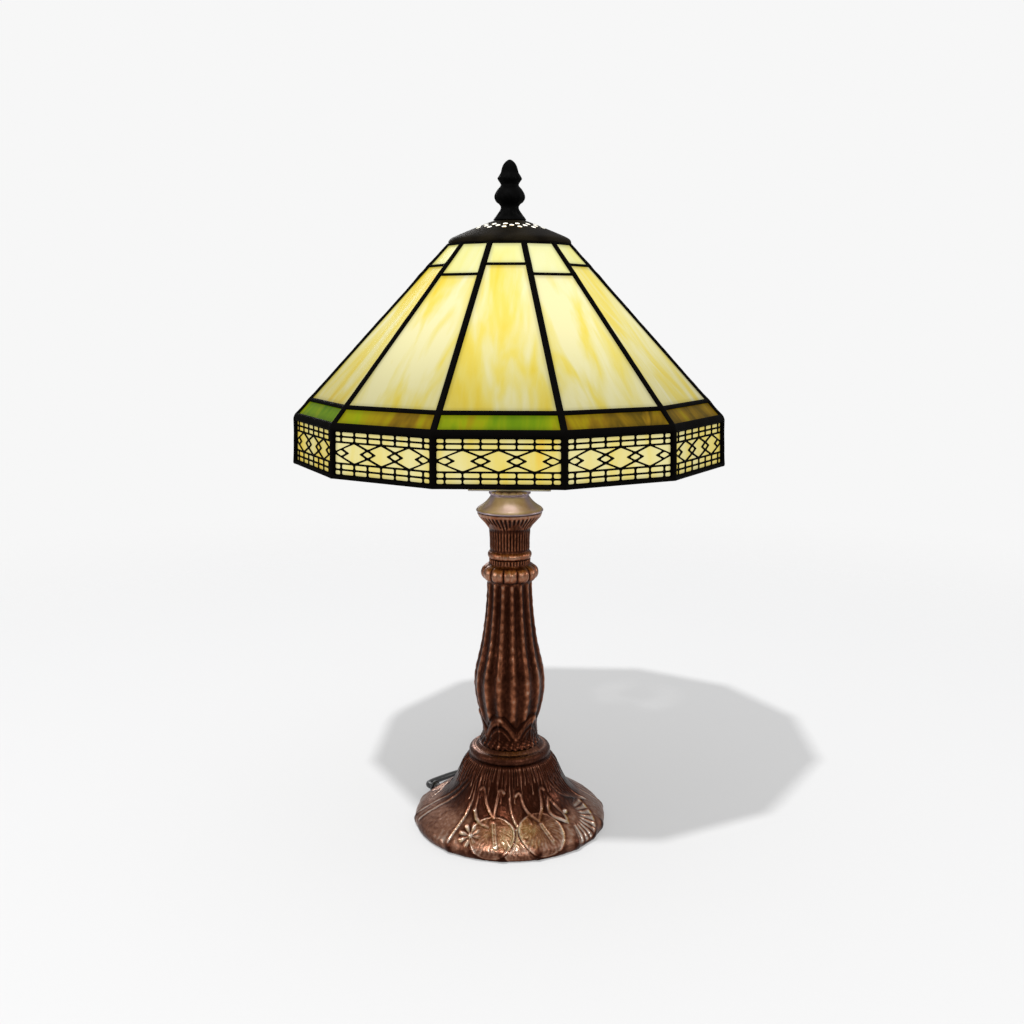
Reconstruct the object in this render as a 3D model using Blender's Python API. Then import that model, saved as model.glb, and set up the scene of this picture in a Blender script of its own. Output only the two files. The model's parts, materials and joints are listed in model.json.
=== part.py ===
"""Stained glass table lamp: a twelve-sided leaded shade on a cast metal column.

Metres, +Z up.  The origin is the centre of the foot on the table, and one face of the shade
looks along -Y.  Faces, hips and panes are counted from that face, anticlockwise from above.
"""

import math

import bmesh
import bpy
import numpy as np
from mathutils import Matrix, Vector

MM = 0.001
GAP = 0.3 * MM  # clearance between neighbouring solids
MERGE = 1e-6

# Shade: a cone of flat faces over an upright band.  Radii run to the corners.
FACES = 12
HALF_FACE = math.pi / FACES
SHADE_RADIUS = 152.4 * MM
SHADE_TOP_RADIUS = 44.7 * MM
SHADE_BOTTOM = 259.6 * MM
CREASE = 292.6 * MM  # fold between the upright band and the cone
SHADE_TOP = 413.1 * MM
SKIRT_LINE = 304.2 * MM  # lead between the skirt panes and the body panes
TALL_LINE = 390.0 * MM  # lead under the crown panes, which are tall and short by turns
SHORT_LINE = 396.9 * MM

# Lead came: an H section that holds the glass between an outer and an inner flange
CAME_DEPTH = 4.6 * MM
FLANGE = 0.8 * MM
SLOT_REACH = 0.7 * MM  # how far a slot runs past its opening, under the flanges
BAND_SLOT_REACH = 0.5 * MM
HIP_HALF = 2.1 * MM  # half the width of the came on a hip, above and below the crease
BAND_HIP_HALF = 2.1 * MM
CROWN_LEAD = 2.2 * MM
SKIRT_LEAD = 3.1 * MM
TOP_LEAD = 2.0 * MM
CREASE_RISE = 2.0 * MM  # height of the crease came above and below the fold
CREASE_DROP = 2.3 * MM
RIM_LEAD = 2.4 * MM

# Band: a pierced strip in front of a ring of glass, both in one slot
FILIGREE_THICKNESS = 0.7 * MM
FILIGREE_BAR = 1.15 * MM
DIAMONDS = 3
BAND_SLOT_DEPTH = 4.0 * MM

# Cap and finial
CAP_RIM_RADIUS = 44.2 * MM
CAP_PLATE_TOP = 429.6 * MM
CAP_PLATE = 1.1 * MM
VENT_RADIUS = 1.7 * MM
VENT_COUNT = 15
VENT_ROWS = (21.0 * MM, 24.6 * MM, 28.2 * MM)
FINIAL_SEAT = 430.9 * MM
STUD_RADIUS = 3.1 * MM
STUD_BORE = 3.5 * MM

# Column and foot
PIPE_RADIUS = 4.9 * MM
PIPE_BORE = 3.4 * MM
PASSAGE = 5.3 * MM  # hole that the pipe runs through
FOOT_RIM = 67.7 * MM
FOOT_TOP = 57.0 * MM
STEM_TOP = 220.7 * MM
STEM_CAP_TOP = 236.0 * MM
HARP_FOOT = 29.0 * MM  # distance of the harp's feet from the axis
PAD_RADIUS = 60.6 * MM
PAD_THICKNESS = 1.6 * MM

# Cord.  It leaves the foot at the back left, and its slack is coiled behind the column.
CORD_RADIUS = 2.2 * MM
CORD_HEIGHT = 2.6 * MM
OUTLET_TURN = math.radians(147.2)  # anticlockwise from +X
OUTLET_HEIGHT = 5.8 * MM
COIL_CENTRE = Vector((-4.4 * MM, 95.0 * MM, 0))
COIL_HALF_WIDTH = 23.0 * MM
COIL_HALF_DEPTH = 18.0 * MM
COIL_TURNS = 3
COIL_STEPS = 12  # path points to a turn
SWITCH_CENTRE = Vector((-18.0 * MM, 146.0 * MM, 0))
SWITCH_SIZE = Vector((20.0 * MM, 44.0 * MM, 14.0 * MM))
SWITCH_SPLIT = 7.3 * MM
ROCKER_TILT = math.radians(8)
SWITCH_CORD_HEIGHT = 4.9 * MM
PLUG_X = 4.0 * MM
PLUG_SETBACK = 2.5 * MM  # of the plug's back from the far end of the switch


# ---------------------------------------------------------------- materials and objects


def material(name, colour, roughness, metallic=0.0):
    """A Principled material with one colour."""
    finish = bpy.data.materials.new(name)
    finish.use_nodes = True
    shader = finish.node_tree.nodes["Principled BSDF"]
    shader.inputs["Base Color"].default_value = (*colour, 1.0)
    shader.inputs["Roughness"].default_value = roughness
    shader.inputs["Metallic"].default_value = metallic
    finish.diffuse_color = (*colour, 1.0)
    return finish


def empty(name, location=(0, 0, 0)):
    """A guide on a joint's axis, which the pieces of one moving body are parented to."""
    guide = bpy.data.objects.new(name, None)
    guide.location = location
    bpy.context.scene.collection.objects.link(guide)
    return guide


def solid(name, mesh_data, finish, parent):
    """A named object made from a bmesh, with its faces pointing out."""
    bmesh.ops.recalc_face_normals(mesh_data, faces=mesh_data.faces)
    mesh = bpy.data.meshes.new(name)
    mesh_data.to_mesh(mesh)
    mesh_data.free()
    mesh.materials.append(finish)
    mesh.shade_smooth()
    mesh.set_sharp_from_angle(angle=math.radians(35))
    piece = bpy.data.objects.new(name, mesh)
    piece.parent = parent
    bpy.context.scene.collection.objects.link(piece)
    return piece


def combine(target, other, operation):
    """Unite `other` with the target, or cut it away, and hide it."""
    other.hide_render = True
    other.display_type = "WIRE"
    boolean = target.modifiers.new(other.name, "BOOLEAN")
    boolean.operation = operation
    boolean.object = other


# ---------------------------------------------------------------- shapes


def add_mesh(target, other):
    """Add a copy of one bmesh's faces to another."""
    mesh = bpy.data.meshes.new("copy")
    other.to_mesh(mesh)
    other.free()
    target.from_mesh(mesh)
    bpy.data.meshes.remove(mesh)


def turned(outline, segments):
    """A mesh turned about Z from (radius, height) points in millimetres.

    An outline that starts and ends on the axis closes itself there.  Any other is a ring.
    """
    shape = bmesh.new()
    points = [shape.verts.new((radius * MM, 0, height * MM)) for radius, height in outline]
    ends = [] if outline[0][0] == 0 else [(points[-1], points[0])]
    edges = [shape.edges.new(pair) for pair in [*zip(points, points[1:]), *ends]]
    bmesh.ops.spin(
        shape, geom=points + edges, cent=(0, 0, 0), axis=(0, 0, 1),
        angle=2 * math.pi, steps=segments,
    )
    bmesh.ops.remove_doubles(shape, verts=shape.verts, dist=MERGE)
    return shape


def arc(centre, radius, start, end, steps):
    """(radius, height) points along a turned profile's round stretch, angles in degrees."""
    angles = np.radians(np.linspace(start, end, steps + 1))
    return [(centre[0] + radius * math.cos(a), centre[1] + radius * math.sin(a)) for a in angles]


def tube(path, radius, sides):
    """A round bar along a path of points, with flat ends."""
    shape = bmesh.new()
    rings = []
    side = None
    for index, point in enumerate(path):
        along = path[min(index + 1, len(path) - 1)] - path[max(index - 1, 0)]
        along.normalize()
        if side is None:
            side = along.orthogonal()
        side = (side - along * side.dot(along)).normalized()
        up = along.cross(side)
        turns = [2 * math.pi * step / sides for step in range(sides)]
        rings.append([
            shape.verts.new(point + (side * math.cos(turn) + up * math.sin(turn)) * radius)
            for turn in turns
        ])
    for first, second in zip(rings, rings[1:]):
        for step in range(sides):
            following = (step + 1) % sides
            shape.faces.new((first[step], first[following], second[following], second[step]))
    shape.faces.new(rings[0])
    shape.faces.new(rings[-1])
    return shape


def smooth_path(points, steps):
    """Catmull-Rom curve through the points."""
    ends = [points[0] * 2 - points[1], *points, points[-1] * 2 - points[-2]]
    path = []
    for p0, p1, p2, p3 in zip(ends, ends[1:], ends[2:], ends[3:]):
        for step in range(steps):
            t = step / steps
            path.append(0.5 * (
                2 * p1 + (p2 - p0) * t + (2 * p0 - 5 * p1 + 4 * p2 - p3) * t**2
                + (3 * p1 - p0 - 3 * p2 + p3) * t**3
            ))
    return [*path, points[-1].copy()]


def block(low, high, bevel=0.0):
    """A box between two corners, with its upright edges bevelled."""
    shape = bmesh.new()
    low, high = Vector(low), Vector(high)
    size = Matrix.Diagonal((*(high - low), 1))
    bmesh.ops.create_cube(shape, size=1, matrix=Matrix.Translation((low + high) / 2) @ size)
    if bevel:
        upright = [e for e in shape.edges if abs(e.verts[0].co.z - e.verts[1].co.z) > MERGE]
        bmesh.ops.bevel(shape, geom=upright, offset=bevel, segments=2, profile=0.5, affect="EDGES")
    return shape


def rod(start, end, radius, sides):
    """A straight round bar between two points."""
    return tube([Vector(start), Vector(end)], radius, sides)


# ---------------------------------------------------------------- shade geometry


def corner_radius(height):
    """Radius of the shade's outer surface at a corner."""
    if height <= CREASE:
        return SHADE_RADIUS
    rise = (height - CREASE) / (SHADE_TOP - CREASE)
    return SHADE_RADIUS + (SHADE_TOP_RADIUS - SHADE_RADIUS) * rise


def half_chord(height):
    """Half the width of a face."""
    return corner_radius(height) * math.sin(HALF_FACE)


RUN = (SHADE_RADIUS - SHADE_TOP_RADIUS) * math.cos(HALF_FACE)
RISE = SHADE_TOP - CREASE
SLOPE_SIN = RISE / math.hypot(RUN, RISE)
# A hip leans against the upright of its face, so a came that follows it is wider along a level.
HIP_LEAN = math.hypot(1, (half_chord(CREASE) - half_chord(SHADE_TOP)) * SLOPE_SIN / RISE)


def face_point(face, offset, height):
    """Point on a face's outer surface, offset sideways from the middle of the face."""
    turn = 2 * HALF_FACE * face - math.pi / 2
    out = Vector((math.cos(turn), math.sin(turn), 0))
    side = Vector((-math.sin(turn), math.cos(turn), 0))
    apothem = corner_radius(height) * math.cos(HALF_FACE)
    return out * apothem + side * offset + Vector((0, 0, height))


def half_opening(height, reach=0.0):
    """Half the width of the glass opening in a face, widened by `reach` under the flange."""
    if height < CREASE:
        return half_chord(height) - BAND_HIP_HALF + reach
    return half_chord(height) - (HIP_HALF - reach) * HIP_LEAN


def bury(point, planes, depth):
    """The point moved inwards until it is `depth` under every plane that it lies on."""
    target = np.full(len(planes), -depth)
    shift = np.linalg.lstsq(np.array(planes), target, rcond=1e-4)[0]
    return point + Vector(shift)


def slab(points, faces, depth, thickness):
    """A closed plate that follows the shade: the sheet of faces buried by `depth`, made thick."""
    sheet = bmesh.new()
    verts = [sheet.verts.new(point) for point in points]
    for corners in faces:
        sheet.faces.new([verts[corner] for corner in corners])
    bmesh.ops.remove_doubles(sheet, verts=sheet.verts, dist=MERGE)
    sheet.normal_update()
    plate = bmesh.new()
    outer, inner = {}, {}
    for vert in sheet.verts:
        planes = sorted({tuple(round(value, 5) for value in f.normal) for f in vert.link_faces})
        outer[vert] = plate.verts.new(bury(vert.co, planes, depth))
        inner[vert] = plate.verts.new(bury(vert.co, planes, depth + thickness))
    for face in sheet.faces:
        plate.faces.new([outer[vert] for vert in face.verts])
        plate.faces.new([inner[vert] for vert in reversed(face.verts)])
    for edge in sheet.edges:
        if edge.is_boundary:
            start, end = edge.verts
            plate.faces.new((outer[start], outer[end], inner[end], inner[start]))
    sheet.free()
    return plate


def along_slope(width):
    """Height that a width measured along the slope takes up."""
    return width * SLOPE_SIN


def is_short(face):
    """Whether the face's crown pane is a short one.  They are short and tall by turns."""
    return face % 2 == 0


# Heights of the came's edges, from the top down
SHORT_EDGES = (SHORT_LINE + along_slope(CROWN_LEAD / 2), SHORT_LINE - along_slope(CROWN_LEAD / 2))
TALL_EDGES = (TALL_LINE + along_slope(CROWN_LEAD / 2), TALL_LINE - along_slope(CROWN_LEAD / 2))
SKIRT_EDGES = (SKIRT_LINE + along_slope(SKIRT_LEAD / 2), SKIRT_LINE - along_slope(SKIRT_LEAD / 2))
CROWN_TOP = SHADE_TOP - along_slope(TOP_LEAD)
SKIRT_BOTTOM = CREASE + CREASE_RISE
BAND_TOP = CREASE - CREASE_DROP
BAND_BOTTOM = SHADE_BOTTOM + RIM_LEAD
CAME_ROWS = (
    SHADE_TOP, CROWN_TOP, *SHORT_EDGES, *TALL_EDGES, *SKIRT_EDGES,
    SKIRT_BOTTOM, CREASE, BAND_TOP, BAND_BOTTOM, SHADE_BOTTOM,
)


def openings(face):
    """(name, top, bottom) of each opening in the sloping part of a face."""
    line = SHORT_EDGES if is_short(face) else TALL_EDGES
    return (
        ("crown", CROWN_TOP, line[0]),
        ("body", line[1], SKIRT_EDGES[0]),
        ("skirt", SKIRT_EDGES[1], SKIRT_BOTTOM),
    )


def is_open(face, top, bottom):
    """Whether the cell between two rows of the came is glass."""
    middle = (top + bottom) / 2
    spans = [(high, low) for _, high, low in openings(face)] + [(BAND_TOP, BAND_BOTTOM)]
    return any(low < middle < high for high, low in spans)


def pane_corners(face, top, bottom, reach):
    """Corners of an opening, spread by `reach` on every side."""
    high, low = top + along_slope(reach), bottom - along_slope(reach)
    wide, narrow = half_opening(low, reach), half_opening(high, reach)
    corners = ((-narrow, high), (-wide, low), (wide, low), (narrow, high))
    return [face_point(face, offset, height) for offset, height in corners]


def band_ring(reach):
    """Sheet of the upright band, one rectangle to a face."""
    points, faces = [], []
    for face in range(FACES):
        half = half_chord(SHADE_BOTTOM)
        high, low = BAND_TOP + reach, BAND_BOTTOM - reach
        corners = ((-half, high), (-half, low), (half, low), (half, high))
        faces.append(range(len(points), len(points) + len(corners)))
        points += [face_point(face, offset, height) for offset, height in corners]
    return points, faces


# ---------------------------------------------------------------- shade pieces


def lead_came(finish, parent):
    """The whole lead frame: a lattice with a slot round every opening for the glass."""
    points, faces = [], []
    for face in range(FACES):
        for top, bottom in zip(CAME_ROWS, CAME_ROWS[1:]):
            rows = []
            for height in (top, bottom):
                hip, edge = half_chord(height), half_opening(height)
                rows.append([face_point(face, x, height) for x in (-hip, -edge, edge, hip)])
            for column in range(3):
                if column == 1 and is_open(face, top, bottom):
                    continue
                faces.append(range(len(points), len(points) + 4))
                points += [rows[0][column], rows[1][column], rows[1][column + 1], rows[0][column + 1]]
    came = solid("lead_came", slab(points, faces, 0, CAME_DEPTH), finish, parent)
    slots = bmesh.new()
    for face in range(FACES):
        for _, top, bottom in openings(face):
            corners = pane_corners(face, top, bottom, SLOT_REACH)
            add_mesh(slots, slab(corners, [range(4)], FLANGE, CAME_DEPTH - 2 * FLANGE))
    add_mesh(slots, slab(*band_ring(BAND_SLOT_REACH), FLANGE, BAND_SLOT_DEPTH - FLANGE))
    combine(came, solid("glass_slots", slots, finish, parent), "DIFFERENCE")


def panes(finishes, parent):
    """The sloping glass, each pane let into its slot with clearance all round."""
    depth = FLANGE + GAP
    thickness = CAME_DEPTH - 2 * depth
    for face in range(FACES):
        for tier, top, bottom in openings(face):
            corners = pane_corners(face, top, bottom, SLOT_REACH - GAP)
            plate = slab(corners, [range(4)], depth, thickness)
            solid(f"{tier}_pane_{face + 1:02d}", plate, finishes[tier], parent)


def shrink(polygon, margin):
    """The anticlockwise polygon with every side moved inwards by `margin`."""
    result = []
    for index, corner in enumerate(polygon):
        arriving = (corner - polygon[index - 1]).normalized()
        leaving = (polygon[(index + 1) % len(polygon)] - corner).normalized()
        first, second = Vector((-arriving.y, arriving.x)), Vector((-leaving.y, leaving.x))
        result.append(corner + (first + second) * margin / (1 + first.dot(second)))
    return result


def filigree_cells():
    """Openings of one face of the pierced strip: rows of slots over and under the diamonds."""
    half = half_opening(SHADE_BOTTOM)
    height = BAND_TOP - BAND_BOTTOM
    slot = height / 8
    cells = []
    for row in (0, 1, 6, 7):
        low, high = BAND_BOTTOM + row * slot, BAND_BOTTOM + (row + 1) * slot
        cells.append([(-half, low), (half, low), (half, high), (-half, high)])
    low, high = BAND_BOTTOM + 2 * slot, BAND_TOP - 2 * slot
    middle = (low + high) / 2
    width = 2 * half / DIAMONDS
    for index in range(DIAMONDS):
        left = -half + index * width
        centre, right = left + width / 2, left + width
        cells.append([(left, middle), (centre, low), (right, middle), (centre, high)])
    for level, sign in ((low, 1), (high, -1)):
        peaks = [-half + (index + 0.5) * width for index in range(DIAMONDS)]
        triangles = [[(a, level), (b, level), ((a + b) / 2, middle)] for a, b in zip(peaks, peaks[1:])]
        triangles.append([(-half, level), (peaks[0], level), (-half, middle)])
        triangles.append([(peaks[-1], level), (half, level), (half, middle)])
        cells += [corners[::sign] for corners in triangles]
    return [shrink([Vector(corner) for corner in cell], FILIGREE_BAR / 2) for cell in cells]


def pierced_panel():
    """Flat triangles of one face of the pierced strip, as (offset, height) points."""
    half = half_chord(SHADE_BOTTOM)
    reach = BAND_SLOT_REACH - GAP
    low, high = BAND_BOTTOM - reach, BAND_TOP + reach
    frame = [Vector(corner) for corner in ((-half, low), (half, low), (half, high), (-half, high))]
    flat = bmesh.new()
    for loop in [frame, *filigree_cells()]:
        verts = [flat.verts.new((corner.x, corner.y, 0)) for corner in loop]
        for start, end in zip(verts, verts[1:] + verts[:1]):
            flat.edges.new((start, end))
    bmesh.ops.triangle_fill(flat, use_beauty=True, use_dissolve=False, edges=flat.edges)
    triangles = []
    for face in flat.faces:
        corners = [vert.co.xy for vert in face.verts]
        turn = (corners[1] - corners[0]).cross(corners[2] - corners[1])
        triangles.append(corners if turn > 0 else corners[::-1])
    flat.free()
    return triangles


def band_filigree(finish, parent):
    """The pierced brass strip that is folded round the band in front of its glass."""
    points, faces = [], []
    panel = pierced_panel()
    for face in range(FACES):
        for corners in panel:
            faces.append(range(len(points), len(points) + 3))
            points += [face_point(face, x, height) for x, height in corners]
    solid("band_filigree", slab(points, faces, FLANGE + GAP, FILIGREE_THICKNESS), finish, parent)


def band_glass(finish, parent):
    """The band's panes, which meet behind the corner came."""
    depth = FLANGE + GAP + FILIGREE_THICKNESS + GAP
    thickness = BAND_SLOT_DEPTH - GAP - depth
    ring = band_ring(BAND_SLOT_REACH - GAP)
    solid("band_glass", slab(*ring, depth, thickness), finish, parent)


def vented_cap(finish, parent):
    """Spun cap on the shade's top, with three rows of vent holes round the finial."""
    rim, top = CAP_RIM_RADIUS / MM, CAP_PLATE_TOP / MM
    underside = top - CAP_PLATE / MM
    outline = [
        (3.7, top), (11.5, top), (18.0, 428.0), (27.0, 425.5), (34.5, 422.6), (41.0, 419.2),
        (43.6, 416.4), (rim, 413.4), (43.0, 413.4), (42.4, 416.0), (40.2, 418.3), (34.1, 421.5),
        (26.7, 424.3), (17.7, 426.9), (11.0, underside), (3.7, underside),
    ]
    cap = solid("vented_cap", turned(outline, 30), finish, parent)
    vents = bmesh.new()
    for row, radius in enumerate(VENT_ROWS):
        for index in range(VENT_COUNT):
            turn = 2 * math.pi * (index + 0.5 * (row % 2)) / VENT_COUNT
            x, y = radius * math.cos(turn), radius * math.sin(turn)
            add_mesh(vents, rod((x, y, SHADE_TOP), (x, y, FINIAL_SEAT), VENT_RADIUS, 6))
    combine(cap, solid("vent_drills", vents, finish, parent), "DIFFERENCE")


def finial(finish, washer_finish, parent):
    """Turned spire, bored for the harp's stud, and the washer under it."""
    outline = [
        (STUD_BORE / MM, FINIAL_SEAT / MM), (11.5, FINIAL_SEAT / MM), (11.5, 431.7), (9.2, 435.0),
        *arc((10.6, 439.3), 3.4, 215, 130, 3), *arc((6.6, 446.6), 4.5, -35, 40, 3), (8.0, 455.0),
        *arc((5.0, 460.2), 3.6, -40, 45, 3), (5.4, 467.8), (3.4, 472.0), (0, 474.2),
        (0, 446.6), (STUD_BORE / MM, 445.5),
    ]
    # The blind bore's end and the tip both lie on the axis, so the outline starts there.
    solid("finial", turned(outline[-2:] + outline[:-2], 16), finish, parent)
    washer = [(3.6, 429.9), (10.0, 429.9), (10.0, 430.6), (3.6, 430.6)]
    solid("finial_washer", turned(washer, 16), washer_finish, parent)


# ---------------------------------------------------------------- light fitting


def harp(finish, parent):
    """Wire loop that carries the shade, with a ferrule on each foot and a stud on top."""
    side = [(29, 250), (40, 270), (53, 305), (56, 340), (50, 375), (34, 408), (15, 422), (0, 425)]
    right = [Vector((x * MM, 0, z * MM)) for x, z in side]
    left = [Vector((-point.x, 0, point.z)) for point in reversed(right[:-1])]
    wire = tube(smooth_path(right + left, 2), 1.7 * MM, 6)
    piece = solid("harp", wire, finish, parent)
    stud = [(0, 422), (8, 422), (8, 428.2), (STUD_RADIUS / MM, 428.2), (STUD_RADIUS / MM, 444), (0, 444)]
    combine(piece, solid("harp_stud", turned(stud, 12), finish, parent), "UNION")
    for name, sign in (("left", -1), ("right", 1)):
        x = sign * HARP_FOOT
        ferrule = rod((x, 0, 239 * MM), (x, 0, 254 * MM), 3.4 * MM, 10)
        combine(piece, solid(f"ferrule_{name}", ferrule, finish, parent), "UNION")
        socket = rod((x, 0, 235 * MM), (x, 0, 249 * MM), 2.3 * MM, 8)
        combine(piece, solid(f"ferrule_bore_{name}", socket, finish, parent), "DIFFERENCE")


def harp_saddle(finish, parent):
    """Strip clamped over the pipe, with a tongue turned up at each end for the harp."""
    bottom, top = STEM_CAP_TOP + GAP, STEM_CAP_TOP + GAP + 1.2 * MM
    reach, half = HARP_FOOT + 0.6 * MM, 7.5 * MM
    piece = solid("harp_saddle", block((-reach, -half, bottom), (reach, half, top)), finish, parent)
    for name, sign in (("left", -1), ("right", 1)):
        x = sign * HARP_FOOT
        tongue = block((x - 0.6 * MM, -1.6 * MM, bottom), (x + 0.6 * MM, 1.6 * MM, 248 * MM))
        combine(piece, solid(f"tongue_{name}", tongue, finish, parent), "UNION")
    hole = rod((0, 0, bottom - MM), (0, 0, top + MM), PASSAGE, 16)
    combine(piece, solid("saddle_hole", hole, finish, parent), "DIFFERENCE")


def socket(shell_finish, liner_finish, parent):
    """Lamp holder: a metal shell and the insulating liner in it."""
    shell = [
        (5.3, 238.2), (10, 238.2), (16.8, 245), (16.8, 292), (15.9, 292),
        (15.9, 245.6), (9.6, 239.3), (5.3, 239.3),
    ]
    solid("socket_shell", turned(shell, 20), shell_finish, parent)
    liner = [(3, 249), (15.4, 249), (15.4, 291), (13.8, 291), (13.8, 252), (3, 252)]
    solid("socket_liner", turned(liner, 20), liner_finish, parent)


def bulb(glass_finish, base_finish, parent):
    """Pear-shaped bulb: its glass envelope and its screw base."""
    crown = arc((0, 342), 30, -15, 90, 6)[:-1]
    inside = arc((0, 342), 29, -15, 90, 6)[:-1]
    outer = [(12.8, 286), (13.6, 300), (18.5, 315), (26.0, 328), *crown, (0, 372)]
    inner = [(12.0, 286), (12.7, 300.3), (17.6, 315.6), (25.0, 328.6), *inside, (0, 371)]
    solid("bulb_glass", turned(inner[::-1] + outer, 16), glass_finish, parent)
    base = [
        (0, 259), (4.4, 259), (9.5, 262.3), (13, 264.5), (13, 285.5), (12.2, 285.5),
        (12.2, 265.2), (9.2, 263.4), (4, 261.5), (0, 261.5),
    ]
    solid("bulb_base", turned(base, 16), base_finish, parent)


# ---------------------------------------------------------------- column and foot


def stem(cap_finish, cast_finish, parent):
    """Baluster column: a neck, two rings and a vase, under a dished cap."""
    top = STEM_TOP / MM
    passage = PASSAGE / MM
    outline = [
        (23.4, top), (21.9, 217.5), (18.0, 213.2), (14.7, 208.9), (14.4, 195.5),
        *arc((12.2, 190.4), 3.4, 60, -60, 3), (14.7, 185.6),
        *arc((13.8, 177.6), 6.0, 70, -70, 4), (15.6, 170.0), (15.7, 162.0), (16.9, 148.4),
        (18.7, 131.2), (22.0, 115.5), (24.6, 103.0), (24.7, 96.0), (23.2, 87.5), (20.5, 77.2),
        (18.8, 68.0), (19.0, 62.2), (21.4, 57.3), (passage, 57.3), (passage, top),
    ]
    solid("stem_casting", turned(outline, 20), cast_finish, parent)
    cup_base, cup_top = top + GAP / MM, STEM_CAP_TOP / MM
    cup = [
        (passage, cup_top), (13.3, cup_top), (13.8, 233.6), (15.4, 230.2), (18.2, 227.3),
        (23.0, 224.0), (24.1, 222.0), (23.6, cup_base), (passage, cup_base),
    ]
    solid("stem_cap", turned(cup, 20), cap_finish, parent)


def outlet_point(radius, height=OUTLET_HEIGHT):
    """Point straight out along the direction in which the cord leaves the foot."""
    return Vector((radius * math.cos(OUTLET_TURN), radius * math.sin(OUTLET_TURN), height))


def foot(cast_finish, nut_finish, felt_finish, rubber_finish, parent):
    """Bell foot, hollow underneath, with its nut, felt pad and cord grommet."""
    rim, top, passage = FOOT_RIM / MM, FOOT_TOP / MM, PASSAGE / MM
    outline = [
        (22.0, top), (23.3, 55.2), *arc((25.5, 50.8), 3.5, 100, -40, 4), (30.4, 46.5), (33.6, 42.4),
        (36.4, 36.5), (38.9, 31.0), (42.4, 25.3), (47.5, 20.3), (53.5, 16.4), (59.0, 13.2),
        (63.5, 10.2), (66.4, 7.4), (rim, 4.6), (66.6, 0.6), (61.2, 0.6), (61.2, 1.9), (58.0, 1.9),
        (55.8, 9.4), (47.5, 14.8), (40.0, 20.5), (35.0, 28.0), (32.0, 38.0), (27.0, 45.5),
        (20.0, 49.5),
        (passage, 49.5), (passage, top),
    ]
    casting = solid("foot_casting", turned(outline, 24), cast_finish, parent)
    outlet = rod(outlet_point(50 * MM), outlet_point(75 * MM), 3.6 * MM, 8)
    combine(casting, solid("cord_outlet", outlet, cast_finish, parent), "DIFFERENCE")
    hexagon = rod((0, 0, 43.5 * MM), (0, 0, 49.2 * MM), 9 * MM, 6)
    nut = solid("foot_nut", hexagon, nut_finish, parent)
    hole = rod((0, 0, 40 * MM), (0, 0, 52 * MM), PASSAGE, 12)
    combine(nut, solid("nut_hole", hole, nut_finish, parent), "DIFFERENCE")
    felt = rod((0, 0, 0), (0, 0, PAD_THICKNESS), PAD_RADIUS, 32)
    solid("felt_pad", felt, felt_finish, parent)
    sleeve = [(2.6, 52), (3.2, 52), (3.2, 67.9), (4.6, 68.2), (4.6, 69.6), (3.8, 70.8), (2.6, 70.8)]
    grommet = turned(sleeve, 10)
    along = Vector((math.cos(OUTLET_TURN), math.sin(OUTLET_TURN), 0))
    lay_down = along.to_track_quat("Z", "Y").to_matrix().to_4x4()
    bmesh.ops.transform(grommet, matrix=lay_down, verts=grommet.verts)
    bmesh.ops.translate(grommet, vec=(0, 0, OUTLET_HEIGHT), verts=grommet.verts)
    solid("cord_grommet", grommet, rubber_finish, parent)


def stem_pipe(finish, parent):
    """Threaded pipe that clamps foot, column and lamp holder together."""
    bore, wall = PIPE_BORE / MM, PIPE_RADIUS / MM
    outline = [(bore, 38), (wall, 38), (wall, 247), (bore, 247)]
    solid("stem_pipe", turned(outline, 12), finish, parent)


# ---------------------------------------------------------------- cord, switch and plug


def coil_point(turn, height):
    """Point on the oval coil.  Turns are counted from its left end, round by the back."""
    angle = math.pi - 2 * math.pi * turn
    x = COIL_HALF_WIDTH * math.cos(angle)
    y = COIL_HALF_DEPTH * math.sin(angle)
    return COIL_CENTRE + Vector((x, y, height))


def cord_path():
    """From the lamp holder down the pipe, out of the foot, round the coil and to the plug."""
    inside = [(0, 0, 247.5), (0, 0, 150), (0, 0, 60), (0, 0, 32), (-6, 4, 17), (-22, 14, 7)]
    drop = [Vector(point) * MM for point in inside]
    leave = [outlet_point(radius * MM) for radius in (42, 52, 71, 74)]
    swing = [Vector(point) * MM for point in ((-63, 49, 4.2), (-51, 66, 2.6), (-37, 79, 2.6))]

    pitch = 2 * CORD_RADIUS + 2 * GAP
    turns = [step / COIL_STEPS for step in range(COIL_TURNS * COIL_STEPS + 1)]
    coil = [coil_point(turn, CORD_HEIGHT + pitch * turn) for turn in turns]

    x, reach = SWITCH_CENTRE.x, SWITCH_SIZE.y / 2
    low, high = SWITCH_CENTRE.y - reach, SWITCH_CENTRE.y + reach
    entry = Vector((x, low - 2 * MM, SWITCH_CORD_HEIGHT))
    way_out = Vector((x, high + 2 * MM, SWITCH_CORD_HEIGHT))
    falling = [Vector(point) * MM for point in ((-31.5, 105, 13.5), (-28, 115, 8))]
    descent = smooth_path([coil[-1], *falling, entry], 2)

    radius = (PLUG_X - x) / 2
    centre = Vector((x + radius, high + 3 * MM, SWITCH_CORD_HEIGHT))
    bend = [
        centre + Vector((-radius * math.cos(turn), radius * math.sin(turn), 0))
        for turn in np.radians((0, 45, 90, 135, 180))
    ]
    plug_end = Vector((PLUG_X, high - PLUG_SETBACK, SWITCH_CORD_HEIGHT))
    approach = smooth_path(drop + leave + swing + coil[:1], 2)
    return [*approach, *coil[1:], *descent[1:], way_out, *bend, plug_end]


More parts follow.
